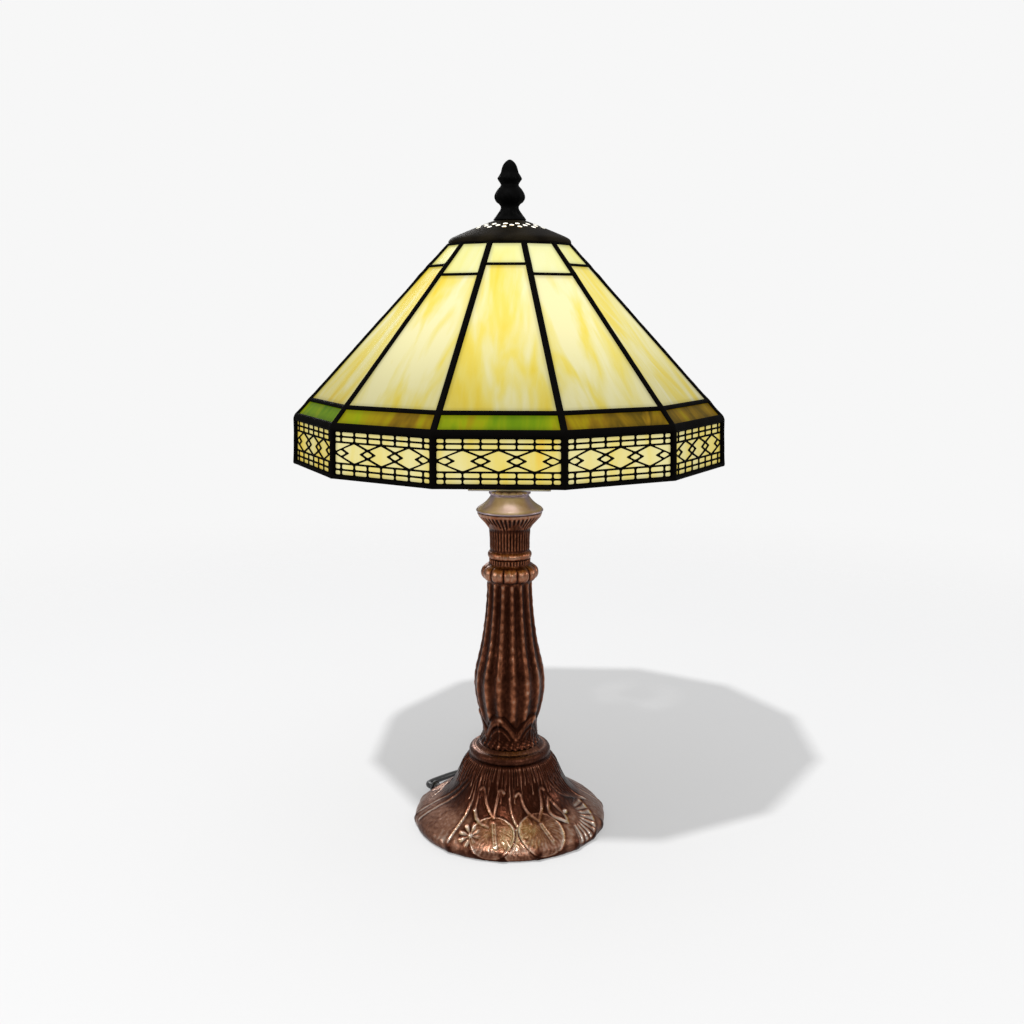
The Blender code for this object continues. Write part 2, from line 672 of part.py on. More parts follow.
def cord_and_plug(cord_finish, plug_finish, parent):
    """Round flex and its moulded two-blade plug."""
    solid("power_cord", tube(cord_path(), CORD_RADIUS, 6), cord_finish, parent)
    end = SWITCH_CENTRE.y + SWITCH_SIZE.y / 2 - PLUG_SETBACK - GAP
    half, blade_gap = 8.5 * MM, 6.3 * MM
    body = block((PLUG_X - half, end - 26 * MM, 0.4 * MM), (PLUG_X + half, end, 13 * MM), 3 * MM)
    plug = solid("plug", body, plug_finish, parent)
    for name, sign in (("left", -1), ("right", 1)):
        x = PLUG_X + sign * blade_gap
        blade = block(
            (x - 0.75 * MM, end - 42 * MM, 3.6 * MM), (x + 0.75 * MM, end - 24 * MM, 9.8 * MM)
        )
        combine(plug, solid(f"blade_{name}", blade, plug_finish, parent), "UNION")


def cord_switch(finish, rocker_finish, parent, rocker_parent):
    """Switch in the cord: two half shells and a rocker between them."""
    half = SWITCH_SIZE / 2
    wall, x, y = 1.6 * MM, SWITCH_CENTRE.x, SWITCH_CENTRE.y
    bottom = 0.4 * MM

    def box(low, high, inset):
        spread = Vector((half.x - inset, half.y - inset, 0))
        centre = Vector((x, y, 0))
        return block(centre - spread + Vector((0, 0, low)), centre + spread + Vector((0, 0, high)),
                     3 * MM - min(inset, 1.5 * MM))

    base = solid("switch_body", box(bottom, SWITCH_SPLIT, 0), finish, parent)
    hollow = box(bottom + wall, SWITCH_SPLIT + 5 * MM, wall)
    combine(base, solid("body_hollow", hollow, finish, parent), "DIFFERENCE")
    ends = [(x, y + reach, SWITCH_CORD_HEIGHT) for reach in (-40 * MM, 40 * MM)]
    passage = rod(*ends, 2.6 * MM, 8)
    combine(base, solid("cord_passage", passage, finish, parent), "DIFFERENCE")
    cover_low = SWITCH_SPLIT + GAP
    cover = solid("switch_cover", box(cover_low, SWITCH_SIZE.z, 0), finish, parent)
    hollow = box(cover_low - 5 * MM, SWITCH_SIZE.z - wall, wall)
    combine(cover, solid("cover_hollow", hollow, finish, parent), "DIFFERENCE")
    window = block((x - 5 * MM, y - 9 * MM, 8 * MM), (x + 5 * MM, y + 9 * MM, 20 * MM))
    combine(cover, solid("rocker_window", window, finish, parent), "DIFFERENCE")
    rocker = block((-4.4 * MM, -8.2 * MM, -2.2 * MM), (4.4 * MM, 8.2 * MM, 4.2 * MM))
    bmesh.ops.rotate(
        rocker, cent=(0, 0, 0), matrix=Matrix.Rotation(ROCKER_TILT, 3, "X"), verts=rocker.verts
    )
    solid("switch_rocker", rocker, rocker_finish, rocker_parent)


# ---------------------------------------------------------------- assembly


def main():
    for leftover in list(bpy.data.objects):
        bpy.data.objects.remove(leftover)

    lead = material("patinated_lead", (0.018, 0.015, 0.012), 0.42, 0.75)
    bronze = material("bronze_patina", (0.20, 0.105, 0.065), 0.38, 0.85)
    copper = material("worn_copper", (0.42, 0.25, 0.16), 0.32, 0.9)
    black = material("blackened_metal", (0.012, 0.011, 0.011), 0.35, 0.6)
    brass = material("brass", (0.72, 0.52, 0.24), 0.28, 1.0)
    steel = material("plated_steel", (0.62, 0.62, 0.62), 0.3, 1.0)
    felt = material("green_felt", (0.03, 0.09, 0.05), 0.95)
    rubber = material("black_plastic", (0.014, 0.014, 0.015), 0.5)
    liner = material("insulating_card", (0.32, 0.22, 0.13), 0.85)
    opal = material("frosted_glass", (0.95, 0.92, 0.85), 0.35)
    cream = material("cream_glass", (0.86, 0.78, 0.46), 0.15)
    amber = material("amber_green_glass", (0.38, 0.40, 0.05), 0.15)

    lamp = empty("lamp")
    shade = empty("shade_axis")
    finial_axis = empty("finial_axis")
    bulb_axis = empty("bulb_axis")
    rocker_axis = empty("rocker_axis", (SWITCH_CENTRE.x, SWITCH_CENTRE.y, 11.2 * MM))
    for guide in (shade, finial_axis, bulb_axis, rocker_axis):
        guide.parent = lamp

    lead_came(lead, shade)
    panes({"crown": cream, "body": cream, "skirt": amber}, shade)
    band_filigree(lead, shade)
    band_glass(cream, shade)
    vented_cap(black, shade)
    finial(black, brass, finial_axis)
    harp(brass, lamp)
    harp_saddle(steel, lamp)
    socket(brass, liner, lamp)
    bulb(opal, brass, bulb_axis)
    stem_pipe(steel, lamp)
    stem(copper, bronze, lamp)
    foot(bronze, steel, felt, rubber, lamp)
    cord_and_plug(rubber, rubber, lamp)
    cord_switch(rubber, rubber, lamp, rocker_axis)


main()
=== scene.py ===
"""Looks of a stained glass table lamp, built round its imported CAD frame.

Positions are in metres, +Z up.  Outlines of turned pieces and depths of relief are in
millimetres, and so are names that end in _MM.  Face 0 of the twelve-sided shade looks along -Y;
faces are counted anticlockwise from above, and a turn of 0 degrees points along -Y as well.
"""

import json
from math import ceil, cos, exp, hypot, pi, radians, sin, sqrt

import bmesh
import bpy
import numpy as np
from mathutils import Matrix, Vector, noise

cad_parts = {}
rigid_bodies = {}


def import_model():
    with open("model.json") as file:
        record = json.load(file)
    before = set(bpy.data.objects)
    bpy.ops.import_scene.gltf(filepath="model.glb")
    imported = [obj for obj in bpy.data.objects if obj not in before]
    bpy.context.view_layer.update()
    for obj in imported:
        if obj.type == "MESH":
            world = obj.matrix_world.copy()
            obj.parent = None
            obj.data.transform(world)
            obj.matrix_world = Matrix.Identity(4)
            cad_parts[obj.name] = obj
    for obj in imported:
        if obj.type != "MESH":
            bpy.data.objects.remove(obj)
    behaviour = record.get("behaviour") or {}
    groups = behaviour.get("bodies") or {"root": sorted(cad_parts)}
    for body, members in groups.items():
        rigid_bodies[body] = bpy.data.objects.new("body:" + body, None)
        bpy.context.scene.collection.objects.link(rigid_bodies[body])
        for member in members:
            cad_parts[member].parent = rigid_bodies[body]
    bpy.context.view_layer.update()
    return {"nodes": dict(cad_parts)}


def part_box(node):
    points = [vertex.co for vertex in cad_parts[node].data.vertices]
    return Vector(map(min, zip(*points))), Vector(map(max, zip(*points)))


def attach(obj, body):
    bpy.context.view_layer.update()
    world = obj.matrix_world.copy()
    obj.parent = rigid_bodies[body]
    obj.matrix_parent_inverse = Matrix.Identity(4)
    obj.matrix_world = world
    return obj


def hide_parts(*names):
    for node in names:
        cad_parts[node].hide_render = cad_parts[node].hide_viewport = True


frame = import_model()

MM = 0.001
MERGE = 1e-7  # points closer than this are one point
AXIS_MERGE = 1e-6  # the same for the ends of an outline on the axis
nodes = frame["nodes"]

# Shade: faces, hips and the heights of the lead lines
came_low, came_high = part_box("lead_came")
FACES = 12
HALF_FACE = pi / FACES
SHADE_RADIUS = -came_low.y / cos(HALF_FACE)
SHADE_BOTTOM, SHADE_TOP = came_low.z, came_high.z
SHADE_TOP_RADIUS = 44.7 * MM
CREASE = 292.6 * MM
SKIRT_LINE = 304.2 * MM
TALL_LINE = 390.0 * MM
SHORT_LINE = 396.9 * MM
CAME_DEPTH = 4.6 * MM
FLANGE = 0.8 * MM
SLOT_REACH = 0.7 * MM
BAND_SLOT_DEPTH = 4.0 * MM
HIP_HALF = 2.3 * MM
BAND_HIP_HALF = 2.1 * MM
CROWN_LEAD = 2.2 * MM
SKIRT_LEAD = 3.2 * MM
TOP_LEAD = 2.0 * MM
CREASE_RISE = 2.3 * MM
CREASE_DROP = 2.9 * MM
RIM_LEAD = 2.4 * MM
GAP = 0.3 * MM
FILIGREE_THICKNESS = 0.7 * MM
FILIGREE_BAR = 1.15 * MM

BULB_HEIGHT = 0.342  # centre of the bulb's globe

# ---------------------------------------------------------------- meshes


def add_piece(name, mesh, material, node, body="lamp_body", sharp=40):
    """Make a piece from a mesh.  It rides on a body and stands for a CAD node.
    """
    mesh.shade_smooth()
    mesh.set_sharp_from_angle(angle=radians(sharp))
    mesh.materials.append(material)
    piece = bpy.data.objects.new(name, mesh)
    bpy.context.scene.collection.objects.link(piece)
    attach(piece, body)
    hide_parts(node)


def mesh_from(name, points, faces):
    mesh = bpy.data.meshes.new(name)
    mesh.from_pydata([tuple(point) for point in points], [], faces)
    return mesh


def settled(mesh, merge=0.0):
    """The mesh with points closer than `merge` joined and its normals pointing out."""
    shape = bmesh.new()
    shape.from_mesh(mesh)
    if merge:
        bmesh.ops.remove_doubles(shape, verts=shape.verts, dist=merge)
    bmesh.ops.recalc_face_normals(shape, faces=shape.faces)
    shape.to_mesh(mesh)
    shape.free()
    return mesh


def join_meshes(name, meshes):
    """One mesh that holds several."""
    shape = bmesh.new()
    for mesh in meshes:
        shape.from_mesh(mesh)
        bpy.data.meshes.remove(mesh)
    joined = bpy.data.meshes.new(name)
    shape.to_mesh(joined)
    shape.free()
    return joined


def cut_away(name, mesh, cutter):
    """The mesh with another cut out of it."""
    pair = []
    for part in (mesh, cutter):
        thing = bpy.data.objects.new(part.name, part)
        bpy.context.scene.collection.objects.link(thing)
        pair.append(thing)
    boolean = pair[0].modifiers.new("cut", "BOOLEAN")
    boolean.operation = "DIFFERENCE"
    boolean.object = pair[1]
    bpy.context.view_layer.update()
    graph = bpy.context.evaluated_depsgraph_get()
    result = bpy.data.meshes.new_from_object(pair[0].evaluated_get(graph))
    result.name = name
    for thing in pair:
        bpy.data.objects.remove(thing)
    return result


def set_value(mesh, name, values):
    """Store one number per vertex for a material to read."""
    attribute = mesh.attributes.new(name, "FLOAT", "POINT")
    attribute.data.foreach_set("value", np.asarray(values, np.float32).ravel())


def lattice_faces(rows, columns, wrap_rows=False, wrap_columns=False):
    """Quads of a rows x columns lattice of points."""
    row = np.arange(rows if wrap_rows else rows - 1)[:, None]
    column = np.arange(columns if wrap_columns else columns - 1)[None, :]
    next_row, next_column = (row + 1) % rows, (column + 1) % columns
    corners = (
        row * columns + column, row * columns + next_column,
        next_row * columns + next_column, next_row * columns + column,
    )
    return np.stack(corners, -1).reshape(-1, 4).tolist()


def smooth_line(points, spacing):
    """Catmull-Rom curve through the points, in steps of about `spacing`."""
    knots = np.array(points, float)
    ends = np.vstack([knots[0] * 2 - knots[1], knots, knots[-1] * 2 - knots[-2]])
    t = np.linspace(0, 1, 12, endpoint=False)[:, None]
    dense = [
        0.5 * (2 * p1 + (p2 - p0) * t + (2 * p0 - 5 * p1 + 4 * p2 - p3) * t**2
               + (3 * p1 - p0 - 3 * p2 + p3) * t**3)
        for p0, p1, p2, p3 in zip(ends, ends[1:], ends[2:], ends[3:])
    ]
    return spaced(np.vstack([*dense, knots[-1:]]), spacing)


def spaced(points, spacing):
    """Points at even steps of about `spacing` along a polyline."""
    points = np.array(points, float)
    run = np.r_[0, np.cumsum(np.linalg.norm(np.diff(points, axis=0), axis=1))]
    count = max(2, int(ceil(run[-1] / spacing)) + 1)
    at = np.linspace(0, run[-1], count)
    return np.stack([np.interp(at, run, axis) for axis in points.T], -1)


def arc(centre, radius, start, end, steps=8):
    """Points of a profile's round stretch, in (radius, height); angles in degrees."""
    angles = np.radians(np.linspace(start, end, steps + 1))
    return np.stack([centre[0] + radius * np.cos(angles), centre[1] + radius * np.sin(angles)], -1)


def outline_normals(outline, closed):
    """Unit normals of an outline in (radius, height), to the right of its direction."""
    if closed:
        along = np.roll(outline, -1, 0) - np.roll(outline, 1, 0)
    else:
        along = np.gradient(outline, axis=0)
    along /= np.maximum(np.linalg.norm(along, axis=1, keepdims=True), 1e-9)
    return np.stack([along[:, 1], -along[:, 0]], -1)


def blurred(field, reach):
    """The field averaged over squares of cells; it wraps round both ways."""
    for axis in (0, 1):
        field = sum(np.roll(field, step, axis) for step in range(-reach, reach + 1)) / (2 * reach + 1)
    return field


def turned(name, outline, columns, relief=None, closed=True, rub_and_sheen=None, grain=0.0):
    """A piece turned about Z from an outline in mm, with a height field laid on it.

    `relief(turn, outline)` gives the height in mm at each turn (radians from -Y) and point, and
    `rub_and_sheen(outline)` how much lighter a ring of the profile is painted than its surroundings:
    rubbed metal on the column, painted sheen and highlight on the foot.  The mesh keeps as "wear" how far
    each point stands out, with that added.  An open outline starts and ends on the axis.
    """
    outline = np.asarray(outline, float)
    turn = np.linspace(-pi, pi, columns, endpoint=False)[None, :]
    height = np.zeros((len(outline), columns))
    if relief is not None:
        height = height + relief(turn, outline)
    if grain:
        height = height + grain * 3 * blurred(np.random.default_rng(5).normal(size=height.shape), 1)
    wear = height - blurred(height, 5)
    if rub_and_sheen is not None:
        wear = wear + rub_and_sheen(outline)[:, None]
    normal = outline_normals(outline, closed)
    radius = np.maximum(outline[:, :1] + normal[:, :1] * height, 0)
    rise = outline[:, 1:] + normal[:, 1:] * height
    points = np.stack([radius * np.sin(turn), -radius * np.cos(turn), rise], -1) * MM
    faces = lattice_faces(len(outline), columns, wrap_rows=closed, wrap_columns=True)
    mesh = mesh_from(name, points.reshape(-1, 3), faces)
    set_value(mesh, "wear", wear)
    return settled(mesh, 0.0 if closed else AXIS_MERGE)


def tube(name, path, radius, sides=20, swell=None):
    """A round bar along a path in metres, with flat ends."""
    path = [Vector(point) for point in path]
    points, side = [], None
    for index, point in enumerate(path):
        along = (path[min(index + 1, len(path) - 1)] - path[max(index - 1, 0)]).normalized()
        side = along.orthogonal() if side is None else side - along * side.dot(along)
        side.normalize()
        up = along.cross(side)
        size = radius * (1 if swell is None else swell(index / (len(path) - 1)))
        for turn in np.arange(sides) * 2 * pi / sides:
            points.append(point + (side * cos(turn) + up * sin(turn)) * size)
    faces = lattice_faces(len(path), sides, wrap_columns=True)
    faces.append(list(range(sides)))
    faces.append(list(range(len(points) - sides, len(points))))
    return settled(mesh_from(name, points, faces), MERGE)


def rounded_box(name, low, high, radius, segments=4):
    """A box between two corners with every edge rounded."""
    low, high = Vector(low), Vector(high)
    size = Matrix.Diagonal((*(high - low), 1))
    shape = bmesh.new()
    bmesh.ops.create_cube(shape, size=1, matrix=Matrix.Translation((low + high) / 2) @ size)
    bmesh.ops.bevel(
        shape, geom=shape.edges[:], offset=radius, segments=segments, profile=0.5, affect="EDGES"
    )
    mesh = bpy.data.meshes.new(name)
    shape.to_mesh(mesh)
    shape.free()
    return settled(mesh)


def up(z):
    return Vector((0, 0, z))


def ease(low, high, value):
    """0 below `low`, 1 above `high`, and a smooth step between."""
    share = np.clip((value - low) / (high - low), 0, 1)
    return share * share * (3 - 2 * share)


def plateau(start, full, falling, end, value):
    """0 outside `start` to `end`, 1 from `full` to `falling`, and smooth steps between."""
    return ease(start, full, value) * (1 - ease(falling, end, value))


def hill(value, centre, width):
    """A smooth bump of height 1."""
    return np.exp(-((value - centre) / width) ** 2)


def dome(distance, width):
    """Height of a half-round bar, 1 at its middle and 0 from `width` outwards."""
    return np.sqrt(np.clip(1 - (distance / width) ** 2, 0, 1))


# ---------------------------------------------------------------- materials


class Finish:
    """A Principled material and short ways to feed its inputs."""

    def __init__(self, name, inputs):
        self.material = bpy.data.materials.new(name)
        self.material.use_nodes = True
        self.tree = self.material.node_tree
        self.shader = self.tree.nodes["Principled BSDF"]
        for key, value in inputs.items():
            self.put(key, value)
        self.where = self.node("ShaderNodeTexCoord").outputs["Object"]

    def node(self, kind, **settings):
        made = self.tree.nodes.new(kind)
        for key, value in settings.items():
            setattr(made, key, value)
        return made

    def feed(self, socket, value):
        if isinstance(value, bpy.types.NodeSocket):
            self.tree.links.new(value, socket)
        elif socket.type == "RGBA":
            socket.default_value = (*value, 1.0)
        else:
            socket.default_value = value

    def put(self, name, value):
        self.feed(self.shader.inputs[name], value)

    def computed(self, kind, output, settings, inputs):
        """The output of a new node whose inputs are fed in turn."""
        node = self.node(kind, **settings)
        for key, value in inputs.items():
            self.feed(node.inputs[key], value)
        return node.outputs[output]

    def noise(self, scale, detail, stretch=(1, 1, 1), where=None, roughness=0.55, distortion=0.0):
        """Noise from 0 to 1, over the object's own position unless told where."""
        place = self.computed("ShaderNodeMapping", "Vector", {}, {
            "Vector": self.where if where is None else where, "Scale": stretch,
        })
        return self.computed("ShaderNodeTexNoise", "Fac", {}, {
            "Vector": place, "Scale": scale, "Detail": detail, "Roughness": roughness,
            "Distortion": distortion,
        })

    def ramp(self, value, *stops):
        """Colour ramp with (position, colour) stops."""
        node = self.node("ShaderNodeValToRGB")
        elements = node.color_ramp.elements
        while len(elements) < len(stops):
            elements.new(0.5)
        for element, (position, colour) in zip(elements, stops):
            element.position = position
            element.color = (*colour, 1.0)
        self.feed(node.inputs["Fac"], value)
        return node.outputs["Color"]

    def fit(self, value, low, high, start, end):
        """Map low..high to start..end by a smooth step."""
        return self.computed("ShaderNodeMapRange", "Result", {"interpolation_type": "SMOOTHSTEP"}, {
            "Value": value, "From Min": low, "From Max": high, "To Min": start, "To Max": end,
        })

    def plus(self, base, value, times=1.0):
        """base + value * times"""
        return self.computed(
            "ShaderNodeMath", "Value", {"operation": "MULTIPLY_ADD"}, {0: value, 1: times, 2: base}
        )

    def from_bulb(self):
        """Distance in metres from the middle of the bulb."""
        return self.computed(
            "ShaderNodeVectorMath", "Value", {"operation": "DISTANCE"},
            {0: self.where, 1: (0, 0, BULB_HEIGHT)},
        )

    def attribute(self, name):
        return self.node("ShaderNodeAttribute", attribute_name=name).outputs["Fac"]

    def bump(self, value, depth, strength):
        self.put("Normal", self.computed("ShaderNodeBump", "Normal", {}, {
            "Distance": depth, "Strength": strength, "Height": value,
        }))


def painted_glow_glass(name, tint_of, near, far, shine=0.12):
    """Opal glass with a painted glow: emission that stands in for the bulb's light through it, brightest
    close to the bulb, with painted shade along the came and where the glass is seen at a low angle.

    `near` and `far` are the strengths of the painted glow 78 and 145 mm from the bulb.
    """
    glass = Finish(name, {"Roughness": 0.2, "Specular IOR Level": shine})
    tint = tint_of(glass, glass.node("ShaderNodeUVMap", uv_map="sheet").outputs["UV"])
    facing = glass.computed("ShaderNodeLayerWeight", "Facing", {}, {"Blend": 0.5})
    # Painted light: the glow fades with distance from the bulb
    painted_glow = glass.fit(glass.from_bulb(), 0.078, 0.145, near, far)
    # painted shade of the came over the glass next to it
    painted_glow = glass.plus(0.0, painted_glow, glass.fit(glass.attribute("edge"), 0.0, 1.0, 0.66, 1.0))
    # painted shade where the glass is seen at a low angle
    painted_glow = glass.plus(0.0, painted_glow, glass.fit(facing, 0.25, 0.75, 1.0, 0.82))
    glass.put("Base Color", glass.computed(
        "ShaderNodeVectorMath", "Vector", {"operation": "MULTIPLY_ADD"},
        {0: tint, 1: (0.08, 0.08, 0.08), 2: (0.0092, 0.0092, 0.0046)},
    ))
    glass.put("Emission Color", tint)
    glass.put("Emission Strength", painted_glow)
    glass.bump(glass.noise(60.0, 2.0), 0.35 * MM, 0.5)
    return glass.material


def opal_glass(name, stops, near, far):
    """Cream glass with feathery streaks of amber that run down the sheet."""

    def tint_of(glass, sheet):
        streaks = glass.noise(1.0, 2.5, (6.0, 1.5, 1.0), sheet, 0.5, 0.7)
        wisps = glass.noise(1.0, 4.0, (17.0, 3.0, 1.0), sheet, 0.6, 0.4)
        blend = glass.plus(glass.plus(glass.attribute("lean"), streaks, 0.8), wisps, 0.2)
        return glass.ramp(blend, *stops)

    return painted_glow_glass(name, tint_of, near, far)


def skirt_glass():
    """Green glass clouded with amber.  Each pane leans to one or the other."""

    def tint_of(glass, sheet):
        cloud = glass.noise(1.0, 3.5, (4.5, 1.3, 1.0), sheet, 0.6, 0.5)
        return glass.ramp(
            glass.plus(glass.plus(-0.65, glass.attribute("amber")), cloud, 1.3),
            (0.0, (0.06, 0.17, 0.001)), (0.22, (0.14, 0.24, 0.001)), (0.42, (0.26, 0.30, 0.001)),
            (0.58, (0.29, 0.215, 0.002)), (0.72, (0.21, 0.12, 0.003)), (0.9, (0.10, 0.06, 0.002)),
            (1.0, (0.27, 0.15, 0.006)),
        )

    return painted_glow_glass("amber_green_glass", tint_of, 1.0, 1.0, shine=0.01)


def surface(name, inputs, cloud, stops, roughness, grain, depth, strength=0.5):
    """A finish with a clouded colour and a fine grain.

    `cloud` and `grain` are the scale, detail and stretch of their noise, `roughness` is its value
    at the two ends of the cloud, and `depth` is the depth of the grain in mm.
    """
    finish = Finish(name, inputs)
    tone = finish.noise(*cloud)
    finish.put("Base Color", finish.ramp(tone, *stops))
    finish.put("Roughness", finish.fit(tone, 0.3, 0.7, *roughness))
    finish.bump(finish.noise(*grain), depth * MM, strength)
    return finish.material


def blackened(name, colour, dark):
    """Metal under a dull black finish that hardly shines, even at a low angle."""
    stops = (0.35, dark), (0.65, colour)
    inputs = {"Specular IOR Level": 0.03}
    return surface(name, inputs, (60.0, 4.0), stops, (0.55, 0.55), (260.0, 3.0), 0.08)


def bronze_finish(name, *stops):
    """Cast metal with a brown patina left in the hollows and rubbed off the high places, and lighter under
    the painted sheen and highlight that a profile asks for.
    """
    bronze = Finish(name, {"Metallic": 1.0})
    stain = bronze.noise(55.0, 5.0, roughness=0.65)
    wear = bronze.fit(bronze.attribute("wear"), -0.5, 1.0, 0.0, 1.0)
    bronze.put("Base Color", bronze.ramp(bronze.plus(bronze.plus(-0.35, wear), stain, 0.7), *stops))
    bronze.put("Roughness", bronze.fit(stain, 0.3, 0.72, 0.44, 0.28))
    grain = bronze.plus(bronze.noise(520.0, 3.0), bronze.noise(170.0, 3.0), 2.2)
    bronze.bump(grain, 0.22 * MM, 0.7)
    return bronze.material


def plain_metal(name, colour, dark, roughness):
    """Sheet or turned metal with a little tarnish and fine tool marks."""
    stops = (0.3, dark), (0.6, colour)
    rough = roughness + 0.12, roughness
    return surface(name, {"Metallic": 1.0}, (45.0, 4.0), stops, rough, (260.0, 3.0), 0.06)


def plastic(name, colour, roughness, grain=700.0):
    """Moulded plastic with a fine spark-eroded texture."""
    stops = (0.3, colour), (0.75, tuple(value * 1.6 + 0.002 for value in colour))
    return surface(name, {}, (120.0, 3.0), stops, (roughness, roughness + 0.1), (grain, 2.0), 0.05)


def cap_lining():
    """Bare metal inside the cap, close over the bulb, with a painted glow that stands in for the bulb's
    light on it, so it looks almost white.
    """
    lining = Finish("cap_lining", {
        "Metallic": 0.3, "Base Color": (0.7, 0.68, 0.62), "Emission Color": (1.0, 0.97, 0.88),
    })
    lining.put("Emission Strength", lining.fit(lining.noise(90.0, 2.0), 0.3, 0.7, 0.7, 0.95))
    return lining.material


def bulb_finish():
    """Frosted envelope, lit."""
    frosted = Finish("frosted_glass", {
        "Roughness": 0.4, "Base Color": (0.9, 0.86, 0.78), "Emission Color": (1.0, 0.93, 0.8),
    })
    frosted.put("Emission Strength", frosted.fit(frosted.from_bulb(), 0.03, 0.05, 8.0, 3.0))
    frosted.bump(frosted.noise(300.0, 2.0), 0.03 * MM, 1.0)
    return frosted.material


# ---------------------------------------------------------------- shade geometry


def corner_radius(height):
    """Radius of the shade's outer surface at a corner."""
    share = max(0.0, (height - CREASE) / (SHADE_TOP - CREASE))
    return SHADE_RADIUS + (SHADE_TOP_RADIUS - SHADE_RADIUS) * share


def half_chord(height):
    return corner_radius(height) * sin(HALF_FACE)


RUN = (SHADE_RADIUS - SHADE_TOP_RADIUS) * cos(HALF_FACE)
RISE = SHADE_TOP - CREASE
SLOPE_SIN = RISE / hypot(RUN, RISE)
SLOPE_COS = RUN / hypot(RUN, RISE)
HIP_LEAN = hypot(1, (half_chord(CREASE) - half_chord(SHADE_TOP)) * SLOPE_SIN / RISE)


def face_axes(face):
    """(outwards, sideways) directions of a face."""
    turn = 2 * HALF_FACE * face - pi / 2
    return Vector((cos(turn), sin(turn), 0)), Vector((-sin(turn), cos(turn), 0))


def face_point(face, offset, height):
    out, side = face_axes(face)
    return out * corner_radius(height) * cos(HALF_FACE) + side * offset + up(height)


def half_opening(height, reach=0.0):
    """Half the width of the glass opening in a face, widened by `reach` under the flange."""
    if height < CREASE:
        return half_chord(height) - BAND_HIP_HALF + reach
    return half_chord(height) - (HIP_HALF - reach) * HIP_LEAN


def slope_normal(face):
    out, _ = face_axes(face)
    return out * SLOPE_SIN + up(SLOPE_COS)


def inward(face, at_hip, height):
    """The step that goes 1 mm under every plane that meets at a point, per mm of depth.

    `at_hip` is -1, 0 or 1: the point lies on the face's left hip, between the hips or on the right.
    """
    planes = []
    for neighbour in {face, face + at_hip}:
        if height > CREASE - MERGE:
            planes.append(slope_normal(neighbour))
        if height < CREASE + MERGE:
            planes.append(face_axes(neighbour)[0])
    step = np.linalg.lstsq(np.array(planes), -np.ones(len(planes)), rcond=1e-4)[0]
    return Vector(step)


def along_slope(width):
    return width * SLOPE_SIN


def lead_edges(line, width):
    """Heights of the upper and lower edge of a level came on the slope."""
    return line + along_slope(width / 2), line - along_slope(width / 2)


SHORT_EDGES = lead_edges(SHORT_LINE, CROWN_LEAD)
TALL_EDGES = lead_edges(TALL_LINE, CROWN_LEAD)
SKIRT_EDGES = lead_edges(SKIRT_LINE, SKIRT_LEAD)
CROWN_TOP = SHADE_TOP - along_slope(TOP_LEAD)
SKIRT_BOTTOM = CREASE + CREASE_RISE
BAND_TOP = CREASE - CREASE_DROP
BAND_BOTTOM = SHADE_BOTTOM + RIM_LEAD
CAME_ROWS = (
    SHADE_TOP, CROWN_TOP, *SHORT_EDGES, *TALL_EDGES, *SKIRT_EDGES,
    SKIRT_BOTTOM, CREASE, BAND_TOP, BAND_BOTTOM, SHADE_BOTTOM,
)


def openings(face):
    """(name, top, bottom) of the openings in a face; crown panes are short and tall by turns."""
    line = SHORT_EDGES if face % 2 == 0 else TALL_EDGES
    return (
        ("crown", CROWN_TOP, line[0]),
        ("body", line[1], SKIRT_EDGES[0]),
        ("skirt", SKIRT_EDGES[1], SKIRT_BOTTOM),
        ("band", BAND_TOP, BAND_BOTTOM),
    )


def sheet_height(height):
    """Distance from the crease, measured along the surface and positive above it."""
    return (height - CREASE) / SLOPE_SIN if height > CREASE else height - CREASE


# ---------------------------------------------------------------- lead came

CAME_ROUND = 1.8 * MM  # from an edge, the came rises over this distance
CAME_EDGE = 0.35 * MM  # how far its edge lies under the flat surface, and its crown over it
CAME_RIPPLE = 0.16 * MM
SOLDER = 3.0 * MM  # size of the soldered joints
SOLDER_RISE = 0.3 * MM
FOLD_DROP, FOLD_WIDTH = 0.5 * MM, 0.9 * MM  # the came is eased where it folds over the crease
HIP_STEPS, FACE_STEPS = 4, 22  # columns of the came's lattice over half a hip and over a face


def edge_distance(face, offset, height):
    """Distance from a point of the came to the nearest edge of the came."""
    along = sheet_height(height)
    nearest = min(sheet_height(SHADE_TOP) - along, along - sheet_height(SHADE_BOTTOM))
    for _, top, bottom in openings(face):
        over = along - sheet_height(top)
        under = sheet_height(bottom) - along
        beside = (abs(offset) - half_opening(min(max(height, bottom), top))) / HIP_LEAN
        level = max(over, under)
        away = hypot(beside, level) if min(beside, level) > 0 else max(beside, level)
        nearest = min(nearest, max(away, 0))
    return nearest


def solder_bump(offset, height):
    """A joint's extra height, where a level came meets a hip."""
    lines = (SHORT_LINE, TALL_LINE, SKIRT_LINE, CREASE, SHADE_BOTTOM)
    from_hip = (half_chord(height) - abs(offset)) / SOLDER
    return max(exp(-from_hip**2 - ((height - line) / SOLDER) ** 2) for line in lines)


def came_rows():
    """Heights of the came's lattice, closely spaced across each level came."""
    rows = []
    for top, bottom in zip(CAME_ROWS, CAME_ROWS[1:]):
        steps = 4 if top - bottom < 3.2 * MM else round((top - bottom) / (3.4 * MM)) + 1
        rows += [top + (bottom - top) * step / steps for step in range(steps)]
    return rows + [SHADE_BOTTOM]


def came_columns(height):
    """Offsets across a face, closely spaced over the hips."""
    hip, edge = half_chord(height), half_opening(height)
    left = np.linspace(-hip, -edge, HIP_STEPS + 1)
    middle = np.linspace(-edge, edge, FACE_STEPS + 1)
    return [*left[:-1], *middle, *-left[-2::-1]]


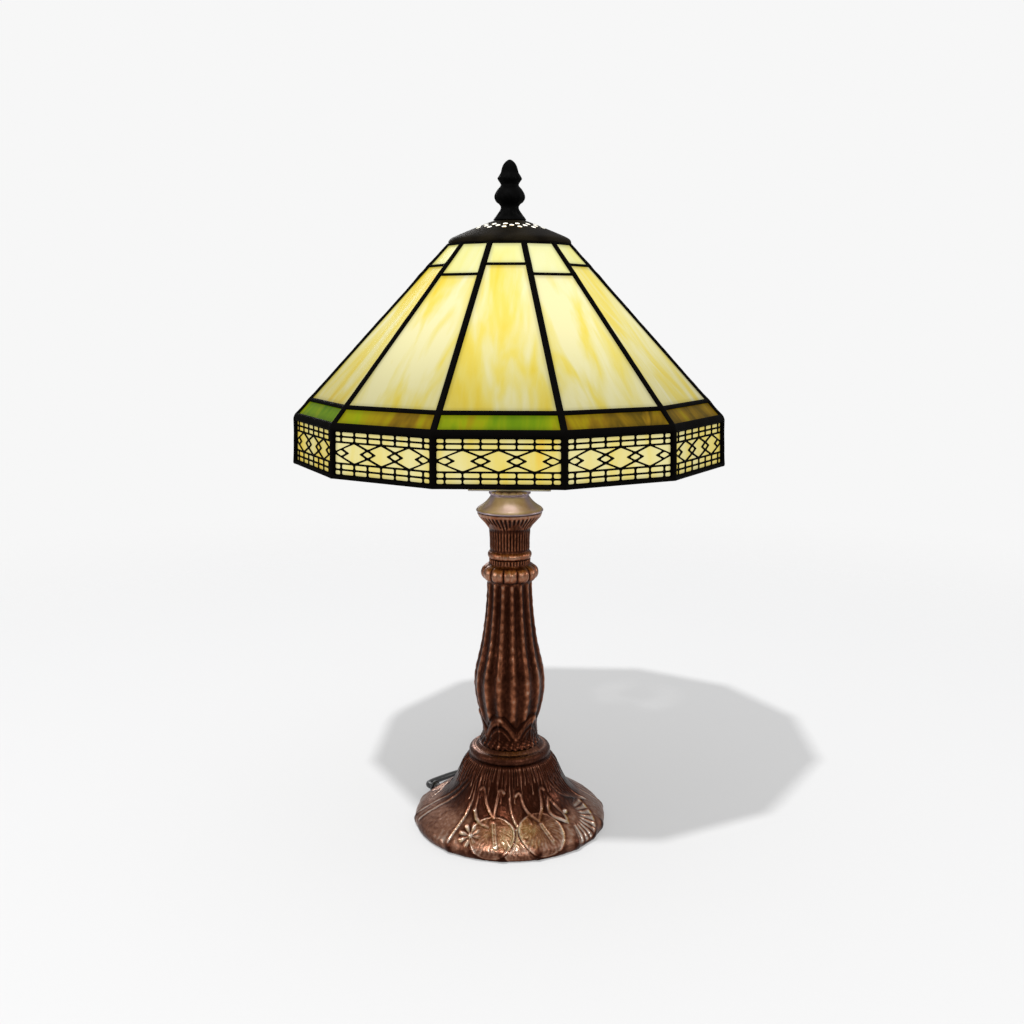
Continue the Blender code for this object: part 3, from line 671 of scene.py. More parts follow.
def build_came(material):
    """The leading: a lattice with rounded faces, and a slot round each opening for its glass."""
    rows = came_rows()
    first, last = HIP_STEPS, HIP_STEPS + FACE_STEPS  # columns at the sides of the openings
    column_count = last + HIP_STEPS + 1
    points, faces = [], []

    def add(point):
        points.append(point)
        return len(points) - 1

    for face in range(FACES):
        spans = [(top, bottom) for _, top, bottom in openings(face)]
        outer, inner, offsets = {}, {}, {}
        for row, height in enumerate(rows):
            for column, offset in enumerate(came_columns(height)):
                at_hip = (column == column_count - 1) - (column == 0)
                step = inward(face, at_hip, height)
                place = face_point(face, offset, height)
                rise = sqrt(1 - (1 - min(edge_distance(face, offset, height) / CAME_ROUND, 1)) ** 2)
                ripple = noise.noise(place * 160) * CAME_RIPPLE * rise
                proud = CAME_EDGE * (2 * rise - 1) + ripple + solder_bump(offset, height) * SOLDER_RISE
                fold = FOLD_DROP * exp(-(sheet_height(height) / FOLD_WIDTH) ** 2)
                outer[row, column] = add(place + step * (fold - proud))
                inner[row, column] = add(place + step * (CAME_DEPTH + proud))
                offsets[row, column] = offset

        def is_lead(row, column):
            middle = (rows[row] + rows[row + 1]) / 2
            inside = any(bottom < middle < top for top, bottom in spans)
            return not (inside and first <= column < last)

        def slot_ring(row, column):
            """The four points under the flanges, next to a point on an opening's edge."""
            offset, height = offsets[row, column], rows[row]
            top, bottom = next(span for span in spans if span[1] - MERGE <= height <= span[0] + MERGE)
            aside = SLOT_REACH * HIP_LEAN * ((column == last) - (column == first))
            lift = SLOT_REACH * ((abs(height - top) < MERGE) - (abs(height - bottom) < MERGE))
            band = height < CREASE
            lift_height = lift if band else along_slope(lift)
            floor = BAND_SLOT_DEPTH if band else CAME_DEPTH - FLANGE
            step = inward(face, 0, height)
            edge = face_point(face, offset, height)
            deep = face_point(face, offset + aside, height + lift_height)
            return [add(edge + step * FLANGE), add(deep + step * FLANGE),
                    add(deep + step * floor), add(edge + step * floor)]

        rings = {}
        for row in range(len(rows) - 1):
            for column in range(column_count - 1):
                if not is_lead(row, column):
                    continue
                corners = [(row, column), (row + 1, column), (row + 1, column + 1), (row, column + 1)]
                faces.append([outer[corner] for corner in corners])
                faces.append([inner[corner] for corner in reversed(corners)])
                neighbours = ((row, column - 1), (row + 1, column), (row, column + 1), (row - 1, column))
                for side, beyond in enumerate(neighbours):
                    start, end = corners[side], corners[(side + 1) % 4]
                    if beyond[1] in (-1, column_count - 1):
                        continue
                    if beyond[0] in (-1, len(rows) - 1):
                        faces.append([outer[start], outer[end], inner[end], inner[start]])
                    elif not is_lead(*beyond):
                        for corner in (start, end):
                            if corner not in rings:
                                rings[corner] = [outer[corner], *slot_ring(*corner), inner[corner]]
                        chain = zip(rings[start], rings[start][1:], rings[end], rings[end][1:])
                        for a, b, c, d in chain:
                            faces.append([a, c, d, b])
    mesh = settled(mesh_from("leading", points, faces), MERGE)
    add_piece("leading", mesh, material, "lead_came", "shade", 50)


# ---------------------------------------------------------------- glass

PANE_EDGE = 1.1 * MM  # spacing of the mesh along a pane's edges
PANE_RIPPLE = 0.09 * MM
EDGE_SHADE = 3.0 * MM  # the came shades the glass this far in


def graded(low, high, count):
    """Values from low to high, close together at both ends."""
    near = PANE_EDGE * (1 if high > low else -1)
    middle = np.linspace(low + 2.5 * near, high - 2.5 * near, count)
    return [low, low + near, *middle, high - near, high]


def sheet_pane(name, face, top, bottom, reach, depth, thickness, values):
    """A pane cut from rolled sheet, with a faint ripple on both sides."""
    spread = reach if top < CREASE else along_slope(reach)
    heights = graded(top + spread, bottom - spread, max(4, round((top - bottom) / (4 * MM))))
    step = inward(face, 0, (top + bottom) / 2)
    points, uv, edge = [], [], []
    for layer, sign in ((depth, 1), (depth + thickness, -1)):
        for height in heights:
            half = half_opening(height, reach)
            offsets = graded(-half, half, 11)
            for offset in offsets:
                place = face_point(face, offset, height)
                ripple = noise.noise(place * 55 + up(face * 3.1)) * PANE_RIPPLE
                points.append(place + step * (layer - sign * ripple))
                uv.append((offset * 10 + face * 3.71, sheet_height(height) * 10 + face * 1.9))
                inset = min(half - abs(offset), heights[0] - height, height - heights[-1])
                # how far the point lies out of the came's painted shade: 0 at the came, 1 from EDGE_SHADE
                # inwards
                edge.append(min(max(inset - reach, 0) / EDGE_SHADE, 1))
    down, across = len(heights), len(offsets)
    count = down * across
    faces = lattice_faces(down, across)
    faces += [[corner + count for corner in reversed(quad)] for quad in faces]
    grid = np.arange(count).reshape(down, across)
    rim = [*grid[0], *grid[1:, -1], *grid[-1, -2::-1], *grid[-2:0:-1, 0]]
    faces += [[a, b, b + count, a + count] for a, b in zip(rim, rim[1:] + rim[:1])]
    mesh = mesh_from(name, points, np.array(faces).tolist())
    sheet = mesh.uv_layers.new(name="sheet")
    for loop in mesh.loops:
        sheet.data[loop.index].uv = uv[loop.vertex_index]
    set_value(mesh, "edge", edge)
    for key, value in values.items():
        set_value(mesh, key, np.full(count * 2, value))
    return settled(mesh)


# One value for each face, from the front anticlockwise: how far its skirt pane leans from
# green (0) to amber (1), and how far its cream glass leans to amber
SKIRT_AMBER = (0.33, 0.78, 0.8, 0.2, 0.6, 0.3, 0.15, 0.75, 0.4, 0.55, 0.2, 0.62)
CREAM_LEAN = (0.015, -0.085, -0.02, 0.0, 0.03, -0.05, 0.02, -0.03, 0.04, -0.02, 0.05, -0.07)


def build_panes(materials):
    """One pane in every opening of the sloping faces, and one behind each face of the band."""
    for face in range(FACES):
        values = {"amber": SKIRT_AMBER[face], "lean": CREAM_LEAN[face]}
        for tier, top, bottom in openings(face):
            name = f"{tier}_glass_{face + 1:02d}"
            node, reach, depth = f"{tier}_pane_{face + 1:02d}", SLOT_REACH - GAP, FLANGE + GAP
            thickness = CAME_DEPTH - 2 * depth
            if tier == "band":
                node, reach, depth = "band_glass", 0.2 * MM, FLANGE + 2 * GAP + FILIGREE_THICKNESS
                thickness = BAND_SLOT_DEPTH - GAP - depth
            mesh = sheet_pane(name, face, top, bottom, reach, depth, thickness, values)
            add_piece(name, mesh, materials[tier], node, "shade")


# ---------------------------------------------------------------- filigree

UNITS = 7  # the pattern's width, in bricks
BAR_LINES = (0.1225, 0.25, 0.73, 0.87)  # level bars, as shares of the height from the top
APEXES = (1.5, 3.5, 5.5)  # centres of the large diamonds, in bricks
SMALL_DIAMONDS = (0.5, 2.5, 4.5, 6.5)


def shrink(polygon, margin):
    """The anticlockwise polygon with every side moved inwards by `margin`."""
    result = []
    for index, corner in enumerate(polygon):
        arriving = (corner - polygon[index - 1]).normalized()
        leaving = (polygon[(index + 1) % len(polygon)] - corner).normalized()
        first, second = Vector((-arriving.y, arriving.x)), Vector((-leaving.y, leaving.x))
        result.append(corner + (first + second) * margin / (1 + first.dot(second)))
    return result


def round_corners(polygon, radius, steps=3):
    """Each corner of the polygon replaced by a short curve."""
    result = []
    for index, corner in enumerate(polygon):
        before, after = polygon[index - 1], polygon[(index + 1) % len(polygon)]
        reach_in = min(radius, (before - corner).length * 0.4)
        reach_out = min(radius, (after - corner).length * 0.4)
        start = corner + (before - corner).normalized() * reach_in
        end = corner + (after - corner).normalized() * reach_out
        for step in range(steps + 1):
            t = step / steps
            result.append(start * (1 - t) ** 2 + corner * 2 * t * (1 - t) + end * t**2)
    return result


def filigree_cells():
    """Openings of one face: two rows of bricks over and under a row of linked diamonds."""
    half = half_opening(SHADE_BOTTOM)
    unit = 2 * half / UNITS
    height = BAND_TOP - BAND_BOTTOM

    def level(share):
        return BAND_TOP - share * height

    def place(units, z):
        return Vector((units * unit - half, z))

    cells = []
    for top, bottom in ((0, BAR_LINES[0]), BAR_LINES[:2], BAR_LINES[2:], (BAR_LINES[3], 1)):
        joints = [0, *(index + 0.5 for index in range(UNITS)), UNITS]
        for left, right in zip(joints, joints[1:]):
            low, high = level(bottom), level(top)
            cells.append([place(left, low), place(right, low), place(right, high), place(left, high)])
    high, low = level(BAR_LINES[1]), level(BAR_LINES[2])
    middle = (high + low) / 2
    third = (high - low) / 5.2
    for centre in APEXES:
        cells.append([
            place(centre, low), place(centre + 1, middle - third), place(centre + 0.5, middle),
            place(centre + 1, middle + third), place(centre, high), place(centre - 1, middle + third),
            place(centre - 0.5, middle), place(centre - 1, middle - third),
        ])
    for centre in SMALL_DIAMONDS:
        cells.append([
            place(centre, middle - third), place(centre + 0.5, middle),
            place(centre, middle + third), place(centre - 0.5, middle),
        ])
    for sign, edge in ((1, low), (-1, high)):
        between = zip(APEXES, APEXES[1:])
        triangles = [
            [place(a, edge), place(b, edge), place((a + b) / 2, middle - sign * third)]
            for a, b in between
        ]
        triangles.append([place(0, edge), place(APEXES[0], edge), place(0, middle)])
        triangles.append([place(APEXES[-1], edge), place(UNITS, edge), place(UNITS, middle)])
        cells += [corners[::sign] for corners in triangles]
    return [round_corners(shrink(cell, FILIGREE_BAR / 2), 1.1 * MM) for cell in cells]


def pierced_panel():
    """Triangles of one face of the strip, as (offset, height) points."""
    half = half_chord(SHADE_BOTTOM)
    low, high = BAND_BOTTOM - GAP, BAND_TOP + GAP
    border = [Vector(corner) for corner in ((-half, low), (half, low), (half, high), (-half, high))]
    flat = bmesh.new()
    for loop in [border, *filigree_cells()]:
        verts = [flat.verts.new((corner.x, corner.y, 0)) for corner in loop]
        for start, end in zip(verts, verts[1:] + verts[:1]):
            flat.edges.new((start, end))
    bmesh.ops.triangle_fill(flat, use_beauty=True, use_dissolve=False, edges=flat.edges)
    flat.verts.index_update()
    corners = [vert.co.xy.copy() for vert in flat.verts]
    triangles = [[vert.index for vert in face.verts] for face in flat.faces]
    rims = [[vert.index for vert in edge.verts] for edge in flat.edges if edge.is_boundary]
    flat.free()
    return corners, triangles, rims


def build_filigree(material):
    """The pierced strip that is folded round the band, with its sharp edges eased."""
    corners, triangles, rims = pierced_panel()
    half = half_chord(SHADE_BOTTOM)
    points, faces = [], []
    for face in range(FACES):
        start = len(points)
        for depth in (FLANGE + GAP, FLANGE + GAP + FILIGREE_THICKNESS):
            for corner in corners:
                at_hip = round(corner.x / half) if abs(abs(corner.x) - half) < MERGE else 0
                place = face_point(face, corner.x, corner.y)
                points.append(place + inward(face, at_hip, corner.y) * depth)
        back = start + len(corners)
        for triangle in triangles:
            faces.append([start + index for index in triangle])
            faces.append([back + index for index in reversed(triangle)])
        for a, b in rims:
            if abs(abs(corners[a].x) - half) < MERGE and abs(abs(corners[b].x) - half) < MERGE:
                continue
            faces.append([start + a, start + b, back + b, back + a])
    mesh = settled(mesh_from("filigree", points, faces), MERGE)
    add_piece("filigree_strip", mesh, material, "band_filigree", "shade", 30)


# ---------------------------------------------------------------- cap and finial

VENT_RADIUS = 1.7 * MM
VENT_COUNT = 15
VENT_ROWS = (20.3, 23.4, 26.4)  # mm from the axis
# The lining's brightness is a painted glow of the bulb's light.
LINING_RADIUS = 36 * MM  # the bright lining stops here, short of the rim


def build_cap(material, inside):
    """Spun cap with a rolled rim and three rows of vent holes."""
    outline = np.vstack([
        smooth_line([(3.7, 429.6), (11.0, 429.6), (13.6, 428.9), (20.3, 426.3), (26.5, 423.8),
                     (33.4, 420.9), (40.6, 417.7), (43.4, 415.9), (44.2, 414.2)], 1.2),
        arc((43.6, 413.1), 0.6, 0, -180, 4),
        smooth_line([(42.7, 414.6), (41.6, 416.2), (39.9, 417.3), (33.1, 420.3), (26.2, 423.2),
                     (20.0, 425.7), (13.4, 428.4), (11.0, 428.95), (3.7, 428.95)], 2.0),
    ])
    cap = turned("cap_blank", outline[::-1], 180)
    drills = []
    for row, radius in enumerate(VENT_ROWS):
        for index in range(VENT_COUNT):
            turn = 2 * pi * (index + 0.5 * (row % 2)) / VENT_COUNT
            x, y = radius * MM * cos(turn), radius * MM * sin(turn)
            drills.append(tube("drill", [(x, y, 0.410), (x, y, 0.440)], VENT_RADIUS, 20))
    mesh = cut_away("cap", cap, join_meshes("drills", drills))
    add_piece("vent_cap", mesh, material, "vented_cap", "shade", 45)
    mesh.materials.append(inside)
    # The lining and the walls of the vents get the painted glow that stands in for the bulb's light.
    for polygon in mesh.polygons:
        from_axis = polygon.center.xy.length
        lining = polygon.normal.z < -0.3 and from_axis < LINING_RADIUS
        glowing_vent_wall = abs(polygon.normal.z) < 0.6 and 18 * MM < from_axis < 31 * MM
        polygon.material_index = int(lining or glowing_vent_wall)


def build_finial(material):
    """Cast spire: a flared foot that hides its washer, a beaded ball, a collar and a bud."""
    outline = np.vstack([
        [(0.0, 446.0), (3.4, 445.2)],
        spaced([(3.4, 445.2), (3.5, 431.0)], 3.0),
        [(3.6, 430.95), (10.3, 430.95), (10.4, 430.1), (11.2, 430.0)],
        smooth_line([(11.9, 430.2), (11.5, 431.0), (10.1, 433.0), (8.7, 434.8), (7.5, 436.8),
                     (6.7, 439.4), (7.7, 441.4), (9.6, 443.0), (10.7, 445.0), (11.0, 447.2),
                     (10.4, 449.8), (9.0, 452.3), (7.3, 454.3), (6.7, 455.6), (7.4, 457.2),
                     (8.6, 459.0), (8.8, 460.3), (7.9, 462.4), (6.9, 464.2), (6.4, 466.0),
                     (5.7, 468.4), (4.8, 470.2), (3.5, 472.0), (1.6, 473.6), (0.0, 474.1)], 0.35),
    ])

    def relief(turn, at):
        z = at[:, 1:]
        outside = (at[:, :1] > 3.8) | (z > 447)
        ball = 0.45 * hill(z, 446.5, 3.2) * np.abs(np.sin(6 * turn + (z - 446) * 0.16))
        collar = 0.35 * hill(z, 460.2, 1.1) * np.cos(14 * turn)
        foot = 0.3 * hill(z, 435.0, 2.0) * np.cos(12 * turn)
        bud = 0.3 * plateau(462, 466, 470, 473, z) * np.cos(6 * turn)
        return outside * (ball + collar + foot + bud - 0.2 * ease(432, 434, z))

    mesh = turned("spire", outline, 144, relief, closed=False)
    add_piece("spire", mesh, material, "finial", "finial_screw", 60)
    washer = np.vstack([arc((9.7, 430.25), 0.32, -90, 90, 6), [(3.6, 430.57), (3.6, 429.93)]])
    mesh = turned("washer", washer, 72)
    add_piece("spire_washer", mesh, material, "finial_washer", "finial_carriage")


# ---------------------------------------------------------------- cast relief

PASSAGE_MM = 5.3


def stroke(turn, radius, along, path, width, height):
    """A raised line through (degrees, mm) points; its height where a surface point lies on it."""
    path = smooth_line(path, 2.0)
    nearest = np.full(np.broadcast(turn, along).shape, 1e9)
    for (turn_a, along_a), (turn_b, along_b) in zip(path, path[1:]):
        step_x, step_y = np.radians(turn_b - turn_a) * radius, along_b - along_a
        x, y = local(turn, radius, along, (turn_a, along_a))
        share = np.clip((x * step_x + y * step_y) / (step_x**2 + step_y**2), 0, 1)
        nearest = np.minimum(nearest, np.hypot(x - share * step_x, y - share * step_y))
    return height * dome(nearest, width)


def local(turn, radius, along, centre):
    """(sideways, downwards) distance in mm from a (degrees, mm) point on the surface."""
    return (turn - radians(centre[0])) * radius, along - centre[1]


def petals(turn, radius, along, centre, size, count, height):
    """A daisy: petals with a crease, round a raised eye."""
    x, y = local(turn, radius, along, centre)
    away, angle = np.hypot(x, y), np.arctan2(y, x)
    sector = np.cos(count * angle / 2) ** 2
    reach = size * (0.3 + 0.7 * sector**0.3)
    petal = height * np.clip(1 - (away / reach) ** 4, 0, 1) * sector**0.35
    crease = 0.3 * hill(sector, 1, 0.05) * (away < reach) * (away > 0.3 * size)
    return np.maximum(petal - crease, 1.3 * height * dome(away, 0.22 * size))


def lily_pad(turn, radius, along, centre, size, height):
    """A round leaf with a raised edge and fine hatching that fans out, and where it lies."""
    x, y = local(turn, radius, along, centre)
    away = np.hypot(x, y)
    angle = np.arctan2(x, y + 0.6 * size)
    blade = height * (1 - ease(size - 0.9, size, away))
    edge = 0.3 * hill(away, size - 0.7, 0.6)
    hatch = 0.08 * np.cos(44 * angle + np.sin(away)) * (1 - ease(size - 3.0, size - 1.0, away))
    return blade + edge + hatch, away < size + 0.3


def shell(turn, radius, along, centre, size, lean, height):
    """A scallop shell: a fan of rounded ribs that reach for the rim, leaning sideways."""
    x, y = local(turn, radius, along, centre)
    away, angle = np.hypot(x, y), np.arctan2(x, y) - lean
    rib = height * np.abs(np.cos(SHELL_RIBS * angle / 2)) ** 0.7
    fan = 1 - ease(radians(54), radians(60), np.abs(angle))
    body = (rib + 0.2) * plateau(9, 15, size - 1.5, size, away) * fan
    return np.maximum(body, 1.5 * height * dome(away, 2.2))


def highest(*heights):
    """The upper surface of several that overlap."""
    return np.max(np.broadcast_arrays(*heights), axis=0)


def lily(spot, prongs, base, bud_tip, leaf):
    """A lily on its side stems: two curled prongs, a drooping bud and a leaf."""
    stems = []
    for tip, bend in prongs:
        hook = 1 if tip[0] > base[0] else -1
        curl = [tip, (tip[0] + 2.5 * hook, tip[1] - 1.2), (tip[0] + 5 * hook, tip[1] + 0.6)]
        stems += [stroke(*spot, [tip, bend, base], 1.5, 1.05), stroke(*spot, curl, 1.6, 1.15)]
    start = (base[0] * 0.8 + bud_tip[0] * 0.2, base[1] * 0.8 + bud_tip[1] * 0.2)
    bud = stroke(*spot, [start, bud_tip], 2.1, 1.1)
    seam = stroke(*spot, [start, bud_tip], 0.5, 0.4)
    return highest(highest(*stems, bud) - seam, stroke(*spot, leaf, 1.6, 0.9))


# ---------------------------------------------------------------- foot

SHELL_RIBS = 30  # as if they went all the way round
LILY_PADS = (((10, 54), 14.0), ((-9.5, 47.5), 16.0), ((25, 46.5), 16.5))  # centre and radius
LILIES = (  # two prongs, their meeting point, the bud's tip and a leaf
    ([((-26, 16), (-19, 26)), ((-9, 16), (-11, 26))], (-11, 33), (-6, 54),
     [(-30, 30), (-23, 37), (-14, 40)]),
    ([((14, 18), (18, 28)), ((37, 17), (34, 27))], (26.5, 36), (30, 52),
     [(44, 23), (39, 33), (47, 42)]),
)
LEAF_LINES = (
    [(-46, 7), (-62, 20), (-76, 36), (-80, 56)], [(-44, 9), (-56, 22), (-68, 38), (-72, 57)],
    [(-38, 12), (-36, 34), (-36, 57)], [(-34, 9), (-31, 22), (-30, 30)],
    [(2, 20), (5, 32), (11, 44)], [(48, 44), (51, 36), (46, 24)], [(38, 12), (46, 26), (50, 34)],
)
RIM_NOTCHES = (-79, -35, -2, 19, 45, 62, 76)


def bell_outline():
    """The foot's profile in mm, from the passage over the ring and the bell to the hollow."""
    outer = np.vstack([
        [(PASSAGE_MM, 57.0), (12.0, 57.0), (19.0, 56.9)],
        smooth_line([(20.6, 56.8), (21.9, 56.5), (23.2, 55.4), (24.0, 54.5)], 0.7),
        arc((25.5, 50.8), 3.5, 104, -42, 24),
        smooth_line([(28.8, 48.0), (30.4, 46.5), (33.6, 42.4), (36.4, 36.5), (38.9, 31.0),
                     (42.4, 25.3), (47.5, 20.3), (53.5, 16.4), (59.0, 13.2), (63.5, 10.2),
                     (66.4, 7.4), (67.6, 4.8)], 0.62),
        smooth_line([(67.5, 3.6), (67.0, 1.8), (66.2, 0.9)], 0.6),
    ])
    inner = np.vstack([
        [(64.0, 1.2), (61.3, 1.3), (61.2, 2.1), (58.0, 2.1)],
        smooth_line([(57.0, 6.0), (55.8, 9.2), (47.5, 14.4), (40.0, 20.2), (35.0, 27.6),
                     (32.0, 37.5), (27.0, 45.0), (20.0, 49.3)], 3.0),
        [(12.0, 49.5), (PASSAGE_MM, 49.5)],
    ])
    return outer, inner


def foot_relief(turn, at):
    """Lilies and their pads on the bell, twice round, under a fringe of grass."""
    run = np.r_[0, np.cumsum(np.linalg.norm(np.diff(at, axis=0), axis=1))]
    start = run[np.argmax((at[:, 0] > 28.5) & (at[:, 1] < 48.2))]
    along = (run - start)[:, None]
    half_turn = (turn + pi / 2) % pi - pi / 2
    spot = (half_turn, at[:, :1], along)

    random = np.random.default_rng(11)
    blades = []
    for index in range(58):
        angle = -89 + index * 3.05 + random.uniform(-0.8, 0.8)
        length = random.uniform(10, 24)
        bend = random.uniform(-2.5, 2.5)
        path = [(angle, 0.5), (angle + bend * 0.3, length * 0.5), (angle + bend, length)]
        blades.append(stroke(*spot, path, 0.7, 0.7))
    waves = [
        stroke(*spot, [(50 + 5 * k, 12), (62 + 4 * k, 24), (80 + 2 * k, 33 + 2 * k)], 1.0, 0.7)
        for k in range(6)
    ]
    height = highest(highest(*blades) * (1 - ease(24, 30, along)), *waves)
    for centre, size in LILY_PADS:
        pad, inside = lily_pad(*spot, centre, size, 0.6)
        height = np.where(inside & (along > 12), pad, height)
    height = highest(
        height,
        shell(*spot, (54, 36), 26.0, radians(38), 0.9),
        petals(*spot, (-24, 48), 9.5, 8, 1.25),
        *(lily(spot, *flower) for flower in LILIES),
        *(stroke(*spot, path, 1.1, 0.6) for path in LEAF_LINES),
    )
    notch = np.min([np.abs(half_turn - radians(angle)) for angle in RIM_NOTCHES], axis=0)
    pull = hill(notch * 67, 0, 3.6) * ease(50, 60, along)
    outer = np.arange(len(at))[:, None] < len(bell_outline()[0])
    return outer * plateau(0, 2, 61.5, 65, along) * (height - pull)


def foot_painted_sheen(at):
    """Painted sheen on the apron of the bell and a painted highlight on the top of the ring; the bell's
    waist and its lip at the table are dark.
    """
    radius, height = at.T
    # painted sheen: light reflected by the metal of the apron
    apron = ease(44, 54, radius) * ease(2, 8, height) * (height < 22)
    # painted highlight along the top of the ring
    ring = hill(radius, 24.6, 2.0) * hill(height, 53.6, 1.6)
    return 0.36 * apron - 0.2 * plateau(20, 30, 46, 49, height) + 0.3 * ring


def build_foot(material):
    outline = np.vstack(bell_outline())
    mesh = turned("bell_foot", outline, 600, foot_relief, rub_and_sheen=foot_painted_sheen, grain=0.05)
    add_piece("bell_foot", mesh, material, "foot_casting", sharp=75)


# ---------------------------------------------------------------- column

FLUTES = 15
FLUTE_PHASE = radians(8.6)
GADROONS = 12
REEDS = 40
CALYX_LEAVES = 5
CALYX_PHASE = radians(16.5)


def column_outline():
    """The column's profile in mm, from the foot up to the cup's rim, then down the passage."""
    outer = np.vstack([
        smooth_line([(21.4, 57.35), (19.6, 60.6), (18.8, 64.0), (18.7, 68.5), (19.7, 73.5),
                     (21.3, 79.5), (23.1, 87.0), (24.3, 94.5), (24.6, 101.0), (23.8, 108.5),
                     (22.1, 116.0), (20.2, 124.0), (18.7, 132.0), (17.5, 141.0), (16.5, 150.0),
                     (15.8, 159.0), (15.4, 167.0), (15.6, 171.4)], 0.75),
        arc((14.6, 177.6), 5.6, -66, 66, 18),
        smooth_line([(15.0, 183.4), (14.4, 185.2), (14.6, 187.2)], 0.6),
        arc((12.6, 190.3), 3.2, -62, 62, 10),
        smooth_line([(14.2, 193.6), (14.0, 197.0), (14.1, 203.0), (14.6, 208.0), (15.9, 211.2),
                     (18.4, 214.2), (21.3, 217.2), (23.0, 219.2), (23.3, 220.7)], 0.65),
    ])
    return np.vstack([outer, [(14.0, 220.7), (PASSAGE_MM, 220.7)],
                      spaced([(PASSAGE_MM, 210.0), (PASSAGE_MM, 57.35)], 12.0)])


def column_relief(turn, at):
    """Flutes, a calyx, a gadrooned ring, reeds and a ribbed cup, from the foot up."""
    radius, z = at[:, :1], at[:, 1:]

    flute = (np.cos(FLUTES * (turn - FLUTE_PHASE)) + 1) / 2
    ridge = flute**1.6 * 0.9 - 0.5 * (1 - flute) + 0.1 * np.sin(z * 0.9 + 3 * turn) * flute**3
    height = plateau(70, 80, 169.5, 172, z) * ridge

    leaf = np.abs(((turn - CALYX_PHASE) * CALYX_LEAVES / (2 * pi) + 0.5) % 1 - 0.5) * 2
    border = 64.5 + 11.5 * np.sin(leaf * pi / 2) ** 1.3
    below = ease(-0.9, 0.9, border - z)
    band = 0.9 * np.exp(-(((z - border) / 3.4) ** 4)) - 0.5 * hill(z, border + 4.6, 1.0)
    second = 0.6 * hill(z, border - 6.5, 1.2) * ease(0.2, 0.5, leaf)
    vein = 0.5 * hill(leaf, 1, 0.06) * below
    pearls = 0.4 * np.sin(29 * turn + z) * np.sin((z - 59.5) * 1.9) * (1 - ease(62.5, 65.0, z))
    calyx = band + second + vein + below * (0.2 + pearls)
    height = height + (1 - ease(79, 82, z)) * (calyx - height * below)

    lobes = np.abs(np.cos(GADROONS * (turn - radians(4)) / 2)) ** 0.5
    height = height + np.exp(-((z - 177.6) / 5.2) ** 4) * (lobes * 2.0 - 1.5)

    reed = np.abs(np.cos(REEDS * turn / 2)) ** 0.8 * 0.75 - 0.35
    reeded = plateau(194.2, 195.6, 206.5, 209.5, z) + plateau(183.9, 184.8, 187.0, 187.8, z)
    rib = (0.5 + 0.5 * np.cos(44 * turn + 0.10 * (z - 208))) ** 1.5 * 0.8 - 0.3
    petal = np.abs(((turn + 0.2) * 6 / (2 * pi)) % 1 - 0.5) * 2
    overlay = ease(0.0, 1.2, (215.2 - 6.0 * petal**1.5) - z) * ease(209.0, 210.4, z)
    cup = plateau(208.5, 210.5, 217.6, 219.0, z) * (rib * (1 - overlay) + overlay * 0.45)
    return np.where(radius > PASSAGE_MM + 4, height + reeded * reed + cup, 0)


def column_rub(at):
    """Bead, gadrooned ring and cup edge are rubbed bright; the calyx is left dark."""
    height = at[:, 1]
    bright = 0.5 * hill(height, 190.3, 2.4) + 0.42 * hill(height, 178.0, 5.0)
    return bright + 0.5 * ease(217, 219.5, height) - 0.25 * (1 - ease(72, 80, height))


def build_column(material):
    mesh = turned("column", column_outline(), 330, column_relief, rub_and_sheen=column_rub, grain=0.05)
    add_piece("column", mesh, material, "stem_casting", sharp=75)


def build_cup(material):
    """The dished cup on the column, and the petalled collar that the saddle sits on."""
    outline = np.vstack([
        [(PASSAGE_MM, 221.05), (14.0, 221.05)],
        smooth_line([(22.6, 221.0), (23.8, 221.5), (24.2, 222.3), (23.6, 223.2)], 0.5),
        smooth_line([(23.0, 223.9), (20.4, 225.6), (17.6, 227.8), (15.4, 230.2), (14.0, 232.2),
                     (13.7, 233.2)], 0.7),
        smooth_line([(13.9, 233.4), (14.5, 234.1), (14.2, 235.2), (13.0, 235.9)], 0.4),
        [(10.0, 236.0), (PASSAGE_MM, 236.0)],
    ])

    def relief(turn, at):
        frill = 0.9 * np.abs(np.sin(7 * turn)) - 0.3
        return ease(233.0, 234.0, at[:, 1:]) * (at[:, :1] > 11) * frill

    add_piece("column_cup", turned("cup", outline, 240, relief), material, "stem_cap", sharp=50)


# ---------------------------------------------------------------- light fitting

SADDLE_REACH = 29.0 * MM


def thread(low, high, pitch, depth):
    """The relief of a screw thread between two heights."""

    def relief(turn, at):
        z = at[:, 1:]
        return plateau(low, low + 1, high - 1, high, z) * depth * np.sin(2 * pi * z / pitch - turn)

    return relief


